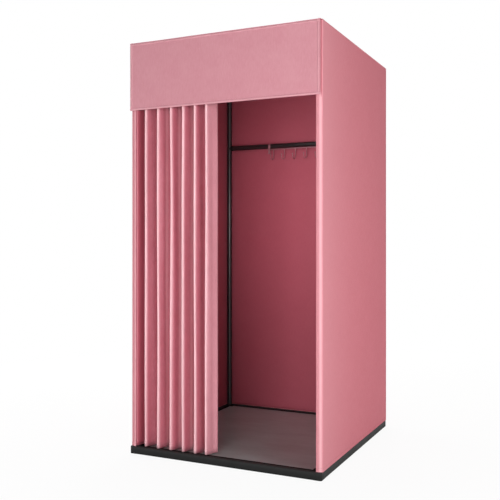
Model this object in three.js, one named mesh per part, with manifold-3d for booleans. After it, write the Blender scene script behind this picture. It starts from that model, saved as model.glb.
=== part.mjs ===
import * as THREE from "three";
import { mergeVertices } from "three/addons/utils/BufferGeometryUtils.js";
import Module from "manifold-3d";

// A portable fitting room: round steel posts and rails on a low steel base, dressed with cloth
// covers, a pleated curtain that slides on a track, a rear hanging rail and a hook rack on it.
// Millimetres. X runs right, Y runs back and Z runs up. The origin is on the ground in the middle
// of the footprint, and the doorway faces -Y.

// Overall size
const boothWidth = 1000;
const boothDepth = 1000;
const boothHeight = 2000;

// Clearances
const seatGap = 0.3;
const slideGap = 0.6;
const cutOverrun = 3;

// Base frame
const baseHeight = 38;
const footHeight = 3;
const footRadius = 12;
const footInset = 17;
const beamWidth = 22;
const beamWall = 1.5;
const beamRadius = 3;
const ledgeWidth = 12;
const ledgeThickness = 2;
const cornerRadius = 9;
const cornerMargin = 4.5;
const cornerChamfer = 1.2;
const beamSpigotLength = 40;
const postSpigotLength = 60;

// Floor
const floorThickness = 9;
const floorRecess = 4;
const floorGap = 1.5;
const crossbarWidth = 30;
const crossbarHeight = 16;
const crossbarWall = 1.5;
const crossbarSpacing = 320;

// Frame tubes and their top connectors
const tubeRadius = 14;
const tubeWall = 1.5;
const socketWall = 1.9;
const collarStep = 1.1;
const collarLength = 7;
const socketLength = 50;
const socketStop = 17;

// Hanging rail
const railDrop = 400;
const saddleLength = 12;
const saddleSpigotLength = 30;

// Cloth covers
const coverThickness = 2;
const coverCornerRadius = 8;
const returnWidth = 29;
const valanceHeight = 328;
const valanceStandOff = 9;
const valanceInset = 4;
const valanceFlap = 45;

// Curtain
const curtainThickness = 2;
const foldRadius = 6;
const foldPitch = 66;
const foldPitchShares = [0.8, 1.06, 1.08, 1.05, 0.97, 0.92];
const foldDepth = 69;
const firstFoldInset = 30;
const leadEdgeOffset = 24;
const edgeTabWidth = 15;
const curtainHemGap = 4;

// Curtain track and gliders
const trackWidth = 22;
const trackHeight = 16;
const trackWall = 1.5;
const trackSlot = 8;
const trackDrop = 30;
const trackEndGap = 3;
const stopPlugLength = 6;
const stopPlateThickness = 2.4;
const bracketWidth = 18;
const bracketWall = 2.5;
const bracketLip = 3;
const bracketWeb = 10;
const bracketEndInset = 70;
const bracketMouthShare = 0.55;
const gliderWidth = 9;
const gliderHeadHeight = 5;
const gliderCollarWidth = 13;
const gliderCollarHeight = 3;
const gliderStudRadius = 3;
const gliderDrop = 13;

// Hook rack
const strapWidth = 14;
const strapThickness = 1.6;
const strapSpacing = 410;
const strapRearDrop = 14;
const strapFrontDrop = 40;
const strapCurlRadius = 7;
const strapCurlAngle = 110;
const barHeight = 6;
const barThickness = 2;
const barDrop = 17;
const barOverhang = 10;
const hookCount = 6;
const hookPitch = 70;
const hookWireRadius = 1.9;
const hookBend = 21;
const hookShank = 46;
const hookTip = 7;
const hookBallRadius = 4.2;

// Facet counts
const tubeSides = 24;
const arcSteps = 5;
const wireSides = 8;
const wireSteps = 18;

// Levels and places that follow from the sizes above
const halfWidth = boothWidth / 2;
const halfDepth = boothDepth / 2;
const railHeight = boothHeight - railDrop;
const beamHeight = baseHeight - footHeight;
const floorTop = baseHeight - floorRecess;
const ledgeTop = floorTop - floorThickness;
const roofTop = boothHeight - coverThickness;
const roofUnderside = roofTop - coverThickness;
const socketRadius = tubeRadius + seatGap + socketWall;
const collarRadius = socketRadius + collarStep;
const postInset = coverThickness + seatGap + collarRadius;
const frontFaceY = -halfDepth + valanceStandOff;
const postX = halfWidth - postInset;
const frontPostY = frontFaceY + postInset;
const rearPostY = halfDepth - postInset;
const topRailZ = roofUnderside - seatGap - collarRadius;
const curtainFrontY = frontFaceY + coverThickness + seatGap;
const foldFrontY = curtainFrontY + curtainThickness / 2 + foldRadius;
const foldRearY = curtainFrontY + foldDepth - curtainThickness / 2 - foldRadius;
const firstFoldX = -halfWidth + firstFoldInset;
const trackY = (foldFrontY + foldRearY) / 2;
const trackTop = topRailZ - trackDrop;
const trackBottom = trackTop - trackHeight;
const curtainTop = trackBottom - gliderDrop;
const trackHalf = postX - collarRadius - trackEndGap;
const strapBend = tubeRadius + seatGap + strapThickness / 2;
const barFrontY = rearPostY - strapBend + strapThickness / 4;

const wasm = await Module();
wasm.setup();

const finishes = {
  coatedSteel: { color: 0x37393b, roughness: 0.42, metalness: 0.6 },
  mouldedPlastic: { color: 0x1d1e20, roughness: 0.55, metalness: 0 },
  rubber: { color: 0x18181a, roughness: 0.85, metalness: 0 },
  floorBoard: { color: 0x6f6060, roughness: 0.32, metalness: 0 },
  aluminium: { color: 0xa9abae, roughness: 0.35, metalness: 0.9 },
  whiteNylon: { color: 0xe6e4df, roughness: 0.5, metalness: 0 },
  roseMetal: { color: 0xb9838a, roughness: 0.3, metalness: 0.85 },
  coverCloth: { color: 0xcf8d97, roughness: 0.9, metalness: 0 },
  curtainCloth: { color: 0xc9848f, roughness: 0.85, metalness: 0 },
};

// Merges shared corners and drops the flat triangles at the poles of revolved shapes.
function closedGeometry(geometry) {
  const bare = geometry.clone();
  bare.deleteAttribute("normal");
  bare.deleteAttribute("uv");
  const merged = mergeVertices(bare, 1e-4);
  const kept = [];
  const index = merged.index.array;
  for (let i = 0; i < index.length; i += 3) {
    const [a, b, c] = [index[i], index[i + 1], index[i + 2]];
    if (a !== b && b !== c && c !== a) kept.push(a, b, c);
  }
  merged.setIndex(kept);
  return merged;
}

function solid(geometry) {
  const closed = closedGeometry(geometry);
  const vertProperties = new Float32Array(closed.attributes.position.array);
  const triVerts = new Uint32Array(closed.index.array);
  return new wasm.Manifold(new wasm.Mesh({ numProp: 3, vertProperties, triVerts }));
}

function geometryOf(body) {
  const mesh = body.getMesh();
  const geometry = new THREE.BufferGeometry();
  geometry.setAttribute("position", new THREE.BufferAttribute(mesh.vertProperties, 3));
  geometry.setIndex(new THREE.BufferAttribute(mesh.triVerts, 1));
  return geometry;
}

function joined(first, ...others) {
  return geometryOf(others.reduce((whole, next) => whole.add(solid(next)), solid(first)));
}

function cut(first, ...others) {
  return geometryOf(others.reduce((whole, next) => whole.subtract(solid(next)), solid(first)));
}

// The directions that a flat outline takes in the booth, and the one that it is drawn out along.
const unitX = new THREE.Vector3(1, 0, 0);
const unitY = new THREE.Vector3(0, 1, 0);
const unitZ = new THREE.Vector3(0, 0, 1);
const layouts = {
  x: new THREE.Matrix4().makeBasis(unitY, unitZ, unitX),
  y: new THREE.Matrix4().makeBasis(unitX, unitZ, unitY.clone().negate()),
  z: new THREE.Matrix4(),
};

// Draws an outline out from one place to another along X, Y or Z. An outline for X is drawn in
// Y and Z, one for Y in X and Z, and one for Z in X and Y.
function drawnOut(outline, along, from, to) {
  const length = Math.abs(to - from);
  const start = along === "y" ? Math.max(from, to) : Math.min(from, to);
  const geometry = new THREE.ExtrudeGeometry(outline, {
    depth: length,
    bevelEnabled: false,
    curveSegments: arcSteps,
  });
  geometry.applyMatrix4(layouts[along]);
  const shift = { x: [start, 0, 0], y: [0, start, 0], z: [0, 0, start] }[along];
  return geometry.translate(...shift);
}

function box(x0, x1, y0, y1, z0, z1) {
  const geometry = new THREE.BoxGeometry(x1 - x0, y1 - y0, z1 - z0);
  return geometry.translate((x0 + x1) / 2, (y0 + y1) / 2, (z0 + z1) / 2);
}

function circle(radius) {
  const outline = new THREE.Shape();
  for (let i = 0; i < tubeSides; i += 1) {
    const angle = (i * 2 * Math.PI) / tubeSides;
    const point = [radius * Math.cos(angle), radius * Math.sin(angle)];
    if (i === 0) outline.moveTo(...point);
    else outline.lineTo(...point);
  }
  outline.closePath();
  return outline;
}

function ring(outerRadius, innerRadius) {
  const outline = circle(outerRadius);
  outline.holes.push(new THREE.Path(circle(innerRadius).getPoints().reverse()));
  return outline;
}

function roundedRectangle(x0, x1, y0, y1, radius) {
  const outline = new THREE.Shape();
  outline.moveTo(x0 + radius, y0);
  outline.lineTo(x1 - radius, y0);
  outline.absarc(x1 - radius, y0 + radius, radius, -Math.PI / 2, 0);
  outline.lineTo(x1, y1 - radius);
  outline.absarc(x1 - radius, y1 - radius, radius, 0, Math.PI / 2);
  outline.lineTo(x0 + radius, y1);
  outline.absarc(x0 + radius, y1 - radius, radius, Math.PI / 2, Math.PI);
  outline.lineTo(x0, y0 + radius);
  outline.absarc(x0 + radius, y0 + radius, radius, Math.PI, 1.5 * Math.PI);
  return outline;
}

function rectangle(x0, x1, y0, y1) {
  const outline = new THREE.Shape();
  outline.moveTo(x0, y0);
  outline.lineTo(x1, y0);
  outline.lineTo(x1, y1);
  outline.lineTo(x0, y1);
  outline.closePath();
  return outline;
}

// Follows a path from a start point and heading. A stretch is straight over its length, or turns
// left by its angle about its radius, or right where the angle is negative. Each sample keeps the
// normal on its left.
function tracePath(x, y, heading, stretches) {
  const samples = [];
  let direction = heading;
  const note = () => {
    samples.push({ x, y, nx: -Math.sin(direction), ny: Math.cos(direction) });
  };
  note();
  for (const { straight, radius, turn } of stretches) {
    if (straight) {
      x += straight * Math.cos(direction);
      y += straight * Math.sin(direction);
      note();
      continue;
    }
    const side = Math.sign(turn);
    const steps = Math.max(2, Math.ceil((Math.abs(turn) / 90) * arcSteps));
    const centreX = x - side * radius * Math.sin(direction);
    const centreY = y + side * radius * Math.cos(direction);
    for (let i = 0; i < steps; i += 1) {
      direction += THREE.MathUtils.degToRad(turn / steps);
      x = centreX + side * radius * Math.sin(direction);
      y = centreY - side * radius * Math.cos(direction);
      note();
    }
  }
  return samples;
}

// The outline of a strip of even thickness on both sides of a path.
function stripOutline(samples, thickness) {
  const half = thickness / 2;
  const right = samples.map((s) => new THREE.Vector2(s.x - half * s.nx, s.y - half * s.ny));
  const left = samples.map((s) => new THREE.Vector2(s.x + half * s.nx, s.y + half * s.ny));
  return new THREE.Shape([...right, ...left.reverse()]);
}

const booth = new THREE.Group();

function addPiece(name, geometry, finish) {
  const material = new THREE.MeshStandardMaterial(finishes[finish]);
  const mesh = new THREE.Mesh(closedGeometry(geometry), material);
  mesh.name = name;
  booth.add(mesh);
  return mesh;
}

// The four corners of the frame, with the way that each one faces.
const corners = [
  { place: "front_left", sideX: -1, sideY: -1, x: -postX, y: frontPostY },
  { place: "front_right", sideX: 1, sideY: -1, x: postX, y: frontPostY },
  { place: "rear_left", sideX: -1, sideY: 1, x: -postX, y: rearPostY },
  { place: "rear_right", sideX: 1, sideY: 1, x: postX, y: rearPostY },
];

// How far a base corner reaches in from the outer faces, so that it carries its post.
function cornerReach({ x, y }) {
  const seat = tubeRadius + cornerMargin;
  return { x: halfWidth - Math.abs(x) + seat, y: halfDepth - Math.abs(y) + seat };
}

// A base corner: a block with one rounded corner, a spigot into each beam and one into its post.
function baseCorner(corner) {
  const reach = cornerReach(corner);
  const outline = new THREE.Shape();
  outline.moveTo(cornerRadius, 0);
  outline.lineTo(reach.x, 0);
  outline.lineTo(reach.x, reach.y);
  outline.lineTo(0, reach.y);
  outline.lineTo(0, cornerRadius);
  outline.absarc(cornerRadius, cornerRadius, cornerRadius, Math.PI, 1.5 * Math.PI);
  const block = new THREE.ExtrudeGeometry(outline, {
    depth: beamHeight - 2 * cornerChamfer,
    bevelThickness: cornerChamfer,
    bevelSize: cornerChamfer,
    bevelOffset: -cornerChamfer,
    bevelSegments: 1,
    curveSegments: arcSteps,
  });
  block.translate(0, 0, footHeight + cornerChamfer);
  const fit = beamWall + seatGap;
  const low = footHeight + fit;
  const high = baseHeight - fit;
  const section = roundedRectangle(fit, beamWidth - fit, low, high, beamRadius - beamWall);
  const intoFrontBeam = drawnOut(section, "x", reach.x - fit, reach.x + beamSpigotLength);
  const intoSideBeam = drawnOut(section, "y", reach.y - fit, reach.y + beamSpigotLength);
  const spigotRadius = tubeRadius - tubeWall - seatGap;
  const spigotTop = baseHeight + postSpigotLength;
  const spigot = drawnOut(circle(spigotRadius), "z", baseHeight - fit, spigotTop);
  spigot.translate(halfWidth - Math.abs(corner.x), halfDepth - Math.abs(corner.y), 0);
  const body = solid(block).add(solid(intoFrontBeam)).add(solid(intoSideBeam)).add(solid(spigot));
  const turned = body
    .translate([-halfWidth, -halfDepth, 0])
    .scale([-corner.sideX, -corner.sideY, 1]);
  return geometryOf(turned);
}

// The hollow section of a base beam, from its outer face inwards, with the ledge for the floor.
function beamSection() {
  const inner = beamWidth + ledgeWidth;
  const outline = new THREE.Shape();
  outline.moveTo(beamRadius, footHeight);
  outline.lineTo(beamWidth, footHeight);
  outline.lineTo(beamWidth, ledgeTop - ledgeThickness);
  outline.lineTo(inner, ledgeTop - ledgeThickness);
  outline.lineTo(inner, ledgeTop);
  outline.lineTo(beamWidth, ledgeTop);
  outline.lineTo(beamWidth, baseHeight - beamRadius);
  outline.absarc(beamWidth - beamRadius, baseHeight - beamRadius, beamRadius, 0, Math.PI / 2);
  outline.lineTo(beamRadius, baseHeight);
  outline.absarc(beamRadius, baseHeight - beamRadius, beamRadius, Math.PI / 2, Math.PI);
  outline.lineTo(0, footHeight + beamRadius);
  outline.absarc(beamRadius, footHeight + beamRadius, beamRadius, Math.PI, 1.5 * Math.PI);
  const hollow = roundedRectangle(
    beamWall,
    beamWidth - beamWall,
    footHeight + beamWall,
    baseHeight - beamWall,
    beamRadius - beamWall,
  );
  outline.holes.push(new THREE.Path(hollow.getPoints(arcSteps).reverse()));
  return outline;
}

// A beam along X or Y, trimmed square to the corners at its ends. The ledge stops short of the
// corner blocks, which fill the angle there.
function baseBeam(side) {
  const frontCorner = cornerReach(corners[0]);
  const rearCorner = cornerReach(corners[2]);
  if (side === "front" || side === "rear") {
    const reach = side === "front" ? frontCorner : rearCorner;
    const half = halfWidth - reach.x;
    const beam = drawnOut(beamSection(), "x", -half, half);
    beam.translate(0, -halfDepth, 0);
    return side === "front" ? beam : beam.rotateZ(Math.PI);
  }
  const low = -halfDepth + frontCorner.y;
  const high = halfDepth - rearCorner.y;
  const beam = drawnOut(beamSection(), "y", low, high);
  beam.translate(-halfWidth, 0, 0);
  if (side === "left") return beam;
  return geometryOf(solid(beam).scale([-1, 1, 1]));
}

function buildBase() {
  for (const corner of corners) {
    addPiece(`base_corner_${corner.place}`, baseCorner(corner), "mouldedPlastic");
    const profile = [
      new THREE.Vector2(0, 0),
      new THREE.Vector2(footRadius - footHeight / 2, 0),
      new THREE.Vector2(footRadius, footHeight / 2),
      new THREE.Vector2(footRadius, footHeight),
      new THREE.Vector2(0, footHeight),
    ];
    const foot = new THREE.LatheGeometry(profile, tubeSides).rotateX(Math.PI / 2);
    const footX = corner.sideX * (halfWidth - footInset - cornerMargin);
    const footY = corner.sideY * (halfDepth - footInset - cornerMargin);
    addPiece(`foot_pad_${corner.place}`, foot.translate(footX, footY, 0), "rubber");
  }
  for (const side of ["front", "rear", "left", "right"]) {
    addPiece(`base_beam_${side}`, baseBeam(side), "coatedSteel");
  }
}

// The floor board fills the base and is notched round its four corner blocks.
function floorBoard() {
  const edgeX = halfWidth - beamWidth - floorGap;
  const edgeY = halfDepth - beamWidth - floorGap;
  const slab = box(-edgeX, edgeX, -edgeY, edgeY, ledgeTop, floorTop);
  const notches = corners.map((corner) => {
    const reach = cornerReach(corner);
    const cornerX = corner.sideX * halfWidth;
    const cornerY = corner.sideY * halfDepth;
    const innerX = cornerX - corner.sideX * (reach.x + floorGap);
    const innerY = cornerY - corner.sideY * (reach.y + floorGap);
    return box(
      Math.min(cornerX, innerX),
      Math.max(cornerX, innerX),
      Math.min(cornerY, innerY),
      Math.max(cornerY, innerY),
      ledgeTop - cutOverrun,
      floorTop + cutOverrun,
    );
  });
  return cut(slab, ...notches);
}

// A hollow bar under the floor, coped at both ends so that it passes below the ledges.
function floorCrossbar(x) {
  const low = ledgeTop - crossbarHeight;
  const half = crossbarWidth / 2;
  const section = rectangle(x - half, x + half, low, ledgeTop);
  const hollow = rectangle(
    x - half + crossbarWall,
    x + half - crossbarWall,
    low + crossbarWall,
    ledgeTop - crossbarWall,
  );
  section.holes.push(new THREE.Path(hollow.getPoints().reverse()));
  const end = halfDepth - beamWidth - seatGap;
  const bar = drawnOut(section, "y", -end, end);
  const cope = end - ledgeWidth - floorGap;
  const copeLow = ledgeTop - ledgeThickness - seatGap;
  const copes = [-1, 1].map((side) => {
    const near = side < 0 ? -end - cutOverrun : cope;
    const far = side < 0 ? -cope : end + cutOverrun;
    const [left, right] = [x - half - cutOverrun, x + half + cutOverrun];
    return box(left, right, near, far, copeLow, ledgeTop + cutOverrun);
  });
  return cut(bar, ...copes);
}

function buildFloor() {
  addPiece("floor_board", floorBoard(), "floorBoard");
  addPiece("floor_crossbar_left", floorCrossbar(-crossbarSpacing / 2), "coatedSteel");
  addPiece("floor_crossbar_right", floorCrossbar(crossbarSpacing / 2), "coatedSteel");
}

// A tube of the frame between two places along an axis, about the axis line through u and v.
function frameTube(along, from, to, u, v) {
  const tube = drawnOut(ring(tubeRadius, tubeRadius - tubeWall), along, from, to);
  const shift = { x: [0, u, v], y: [u, 0, v], z: [u, v, 0] }[along];
  return tube.translate(...shift);
}

// One socket of a top connector along +Z, a solid of revolution with a collar at its mouth.
function socketBody() {
  const profile = [
    new THREE.Vector2(0, 0),
    new THREE.Vector2(socketRadius, 0),
    new THREE.Vector2(socketRadius, socketLength - collarLength - collarStep),
    new THREE.Vector2(collarRadius, socketLength - collarLength),
    new THREE.Vector2(collarRadius, socketLength - collarStep),
    new THREE.Vector2(socketRadius, socketLength),
    new THREE.Vector2(0, socketLength),
  ];
  return new THREE.LatheGeometry(profile, tubeSides).rotateX(Math.PI / 2);
}

// A three-way connector, with sockets down to the post and along both top rails.
function topConnector({ sideX, sideY, x, y }) {
  const bore = drawnOut(circle(tubeRadius + seatGap), "z", socketStop, socketLength + cutOverrun);
  const turns = [
    (geometry) => geometry.rotateX(Math.PI),
    (geometry) => geometry.rotateY((-sideX * Math.PI) / 2),
    (geometry) => geometry.rotateX((sideY * Math.PI) / 2),
  ];
  const knuckle = new THREE.SphereGeometry(socketRadius, tubeSides / 2, tubeSides / 4);
  let body = solid(knuckle.rotateX(Math.PI / 2));
  for (const turn of turns) body = body.add(solid(turn(socketBody())));
  for (const turn of turns) body = body.subtract(solid(turn(bore.clone())));
  return geometryOf(body).translate(x, y, topRailZ);
}

function buildFrame() {
  for (const corner of corners) {
    const top = topRailZ - socketStop - seatGap;
    addPiece(`post_${corner.place}`, frameTube("z", baseHeight, top, corner.x, corner.y), "coatedSteel");
    addPiece(`top_connector_${corner.place}`, topConnector(corner), "mouldedPlastic");
  }
  const inset = socketStop + seatGap;
  const railX = postX - inset;
  addPiece("top_rail_front", frameTube("x", -railX, railX, frontPostY, topRailZ), "coatedSteel");
  addPiece("top_rail_rear", frameTube("x", -railX, railX, rearPostY, topRailZ), "coatedSteel");
  const railFront = frontPostY + inset;
  const railRear = rearPostY - inset;
  addPiece("top_rail_left", frameTube("y", railFront, railRear, -postX, topRailZ), "coatedSteel");
  addPiece("top_rail_right", frameTube("y", railFront, railRear, postX, topRailZ), "coatedSteel");
}

// A saddle seats on the round of a rear post and plugs into the end of the hanging rail.
function railSaddle(side) {
  const face = postX - tubeRadius - saddleLength;
  const spigotRadius = tubeRadius - tubeWall - seatGap;
  const body = drawnOut(circle(tubeRadius), "x", face, postX);
  const spigot = drawnOut(circle(spigotRadius), "x", face - saddleSpigotLength, postX);
  const post = drawnOut(
    circle(tubeRadius + seatGap),
    "z",
    -tubeRadius - cutOverrun,
    tubeRadius + cutOverrun,
  );
  const beyond = box(
    postX,
    postX + cutOverrun,
    -tubeRadius - cutOverrun,
    tubeRadius + cutOverrun,
    -tubeRadius - cutOverrun,
    tubeRadius + cutOverrun,
  );
  const whole = solid(body)
    .add(solid(spigot))
    .subtract(solid(post.translate(postX, 0, 0)))
    .subtract(solid(beyond));
  return geometryOf(whole.scale([side, 1, 1])).translate(0, rearPostY, railHeight);
}

function buildHangingRail() {
  const end = postX - tubeRadius - saddleLength;
  addPiece("hanging_rail", frameTube("x", -end, end, rearPostY, railHeight), "coatedSteel");
  addPiece("rail_saddle_left", railSaddle(-1), "mouldedPlastic");
  addPiece("rail_saddle_right", railSaddle(1), "mouldedPlastic");
}

// The track's section in Y and Z: a box that is open below along its slot.
function trackOutline() {
  const half = trackWidth / 2;
  const slot = trackSlot / 2;
  const outline = new THREE.Shape();
  outline.moveTo(-half, 0);
  outline.lineTo(-slot, 0);
  outline.lineTo(-slot, trackWall);
  outline.lineTo(-half + trackWall, trackWall);
  outline.lineTo(-half + trackWall, trackHeight - trackWall);
  outline.lineTo(half - trackWall, trackHeight - trackWall);
  outline.lineTo(half - trackWall, trackWall);
  outline.lineTo(slot, trackWall);
  outline.lineTo(slot, 0);
  outline.lineTo(half, 0);
  outline.lineTo(half, trackHeight);
  outline.lineTo(-half, trackHeight);
  outline.closePath();
  return outline;
}

// A bracket clips round the front top rail and grips the track below it.
function trackBracket(x) {
  const half = bracketWidth / 2;
  const clipRadius = tubeRadius + seatGap;
  const clip = drawnOut(ring(clipRadius + bracketWall, clipRadius), "x", x - half, x + half);
  clip.translate(0, frontPostY, topRailZ);
  const reach = tubeRadius + bracketWall + cutOverrun;
  const mouthLow = topRailZ - reach * (1 - 2 * bracketMouthShare);
  const mouth = box(
    x - half - cutOverrun,
    x + half + cutOverrun,
    frontPostY + tubeRadius * bracketMouthShare,
    frontPostY + reach,
    mouthLow,
    topRailZ + reach,
  );
  const gripHalf = trackWidth / 2 + seatGap;
  const gripTop = trackTop + seatGap;
  const gripBottom = trackBottom - seatGap;
  const shell = box(
    x - half,
    x + half,
    trackY - gripHalf - bracketWall,
    trackY + gripHalf + bracketWall,
    gripBottom - bracketWall,
    gripTop + bracketWall,
  );
  const cavity = box(
    x - half - cutOverrun,
    x + half + cutOverrun,
    trackY - gripHalf,
    trackY + gripHalf,
    gripBottom,
    gripTop,
  );
  const gate = box(
    x - half - cutOverrun,
    x + half + cutOverrun,
    trackY - gripHalf + bracketLip,
    trackY + gripHalf - bracketLip,
    gripBottom - bracketWall - cutOverrun,
    gripTop,
  );
  const webY = (frontPostY + trackY) / 2;
  const webTop = topRailZ - clipRadius - bracketWall / 2;
  const web = box(x - half, x + half, webY - bracketWeb / 2, webY + bracketWeb / 2, gripTop, webTop);
  const tubeSpace = drawnOut(circle(clipRadius), "x", x - half - cutOverrun, x + half + cutOverrun);
  tubeSpace.translate(0, frontPostY, topRailZ);
  const whole = solid(clip)
    .subtract(solid(mouth))
    .add(solid(shell))
    .add(solid(web))
    .subtract(solid(cavity))
    .subtract(solid(gate))
    .subtract(solid(tubeSpace));
  return geometryOf(whole);
}

// An end stop plugs into the track and covers its end.
function trackStop(side) {
  const half = trackWidth / 2;
  const fit = trackWall + seatGap;
  const plate = box(
    trackHalf,
    trackHalf + stopPlateThickness,
    trackY - half,
    trackY + half,
    trackBottom,
    trackTop,
  );
  const plug = box(
    trackHalf - stopPlugLength,
    trackHalf + stopPlateThickness / 2,
    trackY - half + fit,
    trackY + half - fit,
    trackBottom + fit,
    trackTop - fit,
  );
  return geometryOf(solid(plate).add(solid(plug)).scale([side, 1, 1]));
}

// A glider: a head that rides in the track, a neck through its slot, a collar and a stud below.
function glider(x) {
  const headHalf = trackWidth / 2 - trackWall - slideGap;
  const neckHalf = trackSlot / 2 - slideGap;
  const headLow = trackBottom + trackWall + seatGap;
  const headHigh = headLow + gliderHeadHeight;
  const collarHigh = trackBottom - slideGap;
  const collarLow = collarHigh - gliderCollarHeight;
  const chamfer = gliderHeadHeight / 4;
  const outline = new THREE.Shape();
  outline.moveTo(-gliderCollarWidth / 2, collarLow);
  outline.lineTo(gliderCollarWidth / 2, collarLow);
  outline.lineTo(gliderCollarWidth / 2, collarHigh);
  outline.lineTo(neckHalf, collarHigh);
  outline.lineTo(neckHalf, headLow);
  outline.lineTo(headHalf, headLow);
  outline.lineTo(headHalf, headHigh - chamfer);
  outline.lineTo(headHalf - chamfer, headHigh);
  outline.lineTo(-headHalf + chamfer, headHigh);
  outline.lineTo(-headHalf, headHigh - chamfer);
  outline.lineTo(-headHalf, headLow);
  outline.lineTo(-neckHalf, headLow);
  outline.lineTo(-neckHalf, collarHigh);
  outline.lineTo(-gliderCollarWidth / 2, collarHigh);
  outline.closePath();
  const body = drawnOut(outline, "x", x - gliderWidth / 2, x + gliderWidth / 2);
  const studTop = collarLow + gliderCollarHeight / 2;
  const profile = [
    new THREE.Vector2(0, curtainTop + seatGap),
    new THREE.Vector2(gliderStudRadius, curtainTop + seatGap),
    new THREE.Vector2(gliderStudRadius, studTop),
    new THREE.Vector2(0, studTop),
  ];
  const stud = new THREE.LatheGeometry(profile, tubeSides / 2).rotateX(Math.PI / 2);
  return joined(body, stud.translate(x, 0, 0)).translate(0, trackY, 0);
}

// Places along X of the front folds of the curtain, from its fixed edge to its leading one.
function frontFolds() {
  const places = [firstFoldX];
  for (const share of foldPitchShares) places.push(places[places.length - 1] + share * foldPitch);
  return places;
}

const foldPlaces = frontFolds();
const lastFoldX = foldPlaces[foldPlaces.length - 1];
const leadEdgeX = lastFoldX + leadEdgeOffset;

// The curtain seen from above: a flat tab behind the front return, then tight round folds joined
// by straight faces that touch the rounds of both folds, and a free leading edge.
function curtainPath() {
  const rounds = [];
  foldPlaces.forEach((x, i) => {
    rounds.push({ x, y: foldFrontY, side: 1 });
    const next = foldPlaces[i + 1];
    if (next !== undefined) rounds.push({ x: (x + next) / 2, y: foldRearY, side: -1 });
  });
  const stretches = [{ straight: edgeTabWidth }];
  let direction = 0;
  rounds.forEach((round, i) => {
    const target = rounds[i + 1] ?? { x: leadEdgeX, y: curtainFrontY + foldDepth, side: 0 };
    const dx = target.x - round.x;
    const dy = target.y - round.y;
    const span = Math.hypot(dx, dy);
    const gap = target.side === 0 ? foldRadius : 2 * foldRadius;
    const next = Math.atan2(dy, dx) + round.side * Math.asin(gap / span);
    stretches.push({ radius: foldRadius, turn: THREE.MathUtils.radToDeg(next - direction) });
    stretches.push({ straight: Math.sqrt(span * span - gap * gap) });
    direction = next;
  });
  return tracePath(firstFoldX - edgeTabWidth, foldFrontY - foldRadius, 0, stretches);
}

function curtain() {
  const outline = stripOutline(curtainPath(), curtainThickness);
  return drawnOut(outline, "z", baseHeight + curtainHemGap, curtainTop);
}

function buildCurtain() {
  const track = drawnOut(trackOutline(), "x", -trackHalf, trackHalf);
  addPiece("curtain_track", track.translate(0, trackY, trackBottom), "aluminium");
  const bracketX = trackHalf - bracketEndInset;
  addPiece("track_bracket_left", trackBracket(-bracketX), "mouldedPlastic");
  addPiece("track_bracket_middle", trackBracket(0), "mouldedPlastic");
  addPiece("track_bracket_right", trackBracket(bracketX), "mouldedPlastic");
  addPiece("track_stop_left", trackStop(-1), "mouldedPlastic");
  addPiece("track_stop_right", trackStop(1), "mouldedPlastic");
  foldPlaces.slice(1).forEach((x, i) => {
    const isLead = i === foldPitchShares.length - 1;
    const gliderX = x + (isLead ? leadEdgeOffset / 2 : foldPitch / 4);
    addPiece(isLead ? "lead_glider" : `curtain_glider_${i + 1}`, glider(gliderX), "whiteNylon");
  });
  addPiece("curtain", curtain(), "curtainCloth");
}

// A side cover with its rounded front corner and the narrow return beside the doorway.
function sideCover(side) {
  const half = coverThickness / 2;
  const quarter = coverCornerRadius - half;
  const rear = halfDepth - coverThickness;
  const turn = [
    { straight: rear - frontFaceY - coverCornerRadius },
    { radius: quarter, turn: 90 },
    { straight: returnWidth - coverCornerRadius },
  ];
  const path = tracePath(-halfWidth + half, rear, -Math.PI / 2, turn);
  const panel = drawnOut(stripOutline(path, coverThickness), "z", baseHeight, roofUnderside);
  return side < 0 ? panel : geometryOf(solid(panel).scale([-1, 1, 1]));
}

// The valance hangs in front of the returns, and its top flap lies on the roof.
function valance() {
  const half = halfWidth - valanceInset;
  const front = -halfDepth;
  const outline = new THREE.Shape();
  outline.moveTo(front, boothHeight - valanceHeight);
  outline.lineTo(front + coverThickness, boothHeight - valanceHeight);
  outline.lineTo(front + coverThickness, roofTop);
  outline.lineTo(front + valanceFlap, roofTop);
  outline.lineTo(front + valanceFlap, boothHeight);
  outline.lineTo(front + coverThickness, boothHeight);
  outline.absarc(
    front + coverThickness,
    boothHeight - coverThickness,
    coverThickness,
    Math.PI / 2,
    Math.PI,
  );
  outline.closePath();
  return drawnOut(outline, "x", -half, half);
}

function buildCovers() {
  addPiece("side_cover_left", sideCover(-1), "coverCloth");
  addPiece("side_cover_right", sideCover(1), "coverCloth");
  const rearInner = halfDepth - coverThickness;
  const rear = box(-halfWidth, halfWidth, rearInner, halfDepth, baseHeight, roofUnderside);
  addPiece("rear_cover", rear, "coverCloth");
  const roof = drawnOut(
    roundedRectangle(-halfWidth, halfWidth, frontFaceY, halfDepth, coverThickness),
    "z",
    roofUnderside,
    roofTop,
  );
  addPiece("roof_cover", roof, "coverCloth");
  addPiece("valance", valance(), "coverCloth");
}

// The rack's straps hook over the hanging rail, and a flat bar joins their front legs.
function rackFrame() {
  const path = tracePath(rearPostY + strapBend, railHeight - strapRearDrop, Math.PI / 2, [
    { straight: strapRearDrop },
    { radius: strapBend, turn: 180 },
    { straight: strapFrontDrop },
    { radius: strapCurlRadius, turn: -strapCurlAngle },
  ]);
  const half = strapWidth / 2;
  const legs = [-1, 1].map((side) => {
    const x = (side * strapSpacing) / 2;
    return drawnOut(stripOutline(path, strapThickness), "x", x - half, x + half);
  });
  const barEnd = strapSpacing / 2 + half + barOverhang;
  const barTop = railHeight - barDrop;
  const barBack = barFrontY + barThickness;
  const bar = box(-barEnd, barEnd, barFrontY, barBack, barTop - barHeight, barTop);
  return joined(legs[0], legs[1], bar);
}

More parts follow.
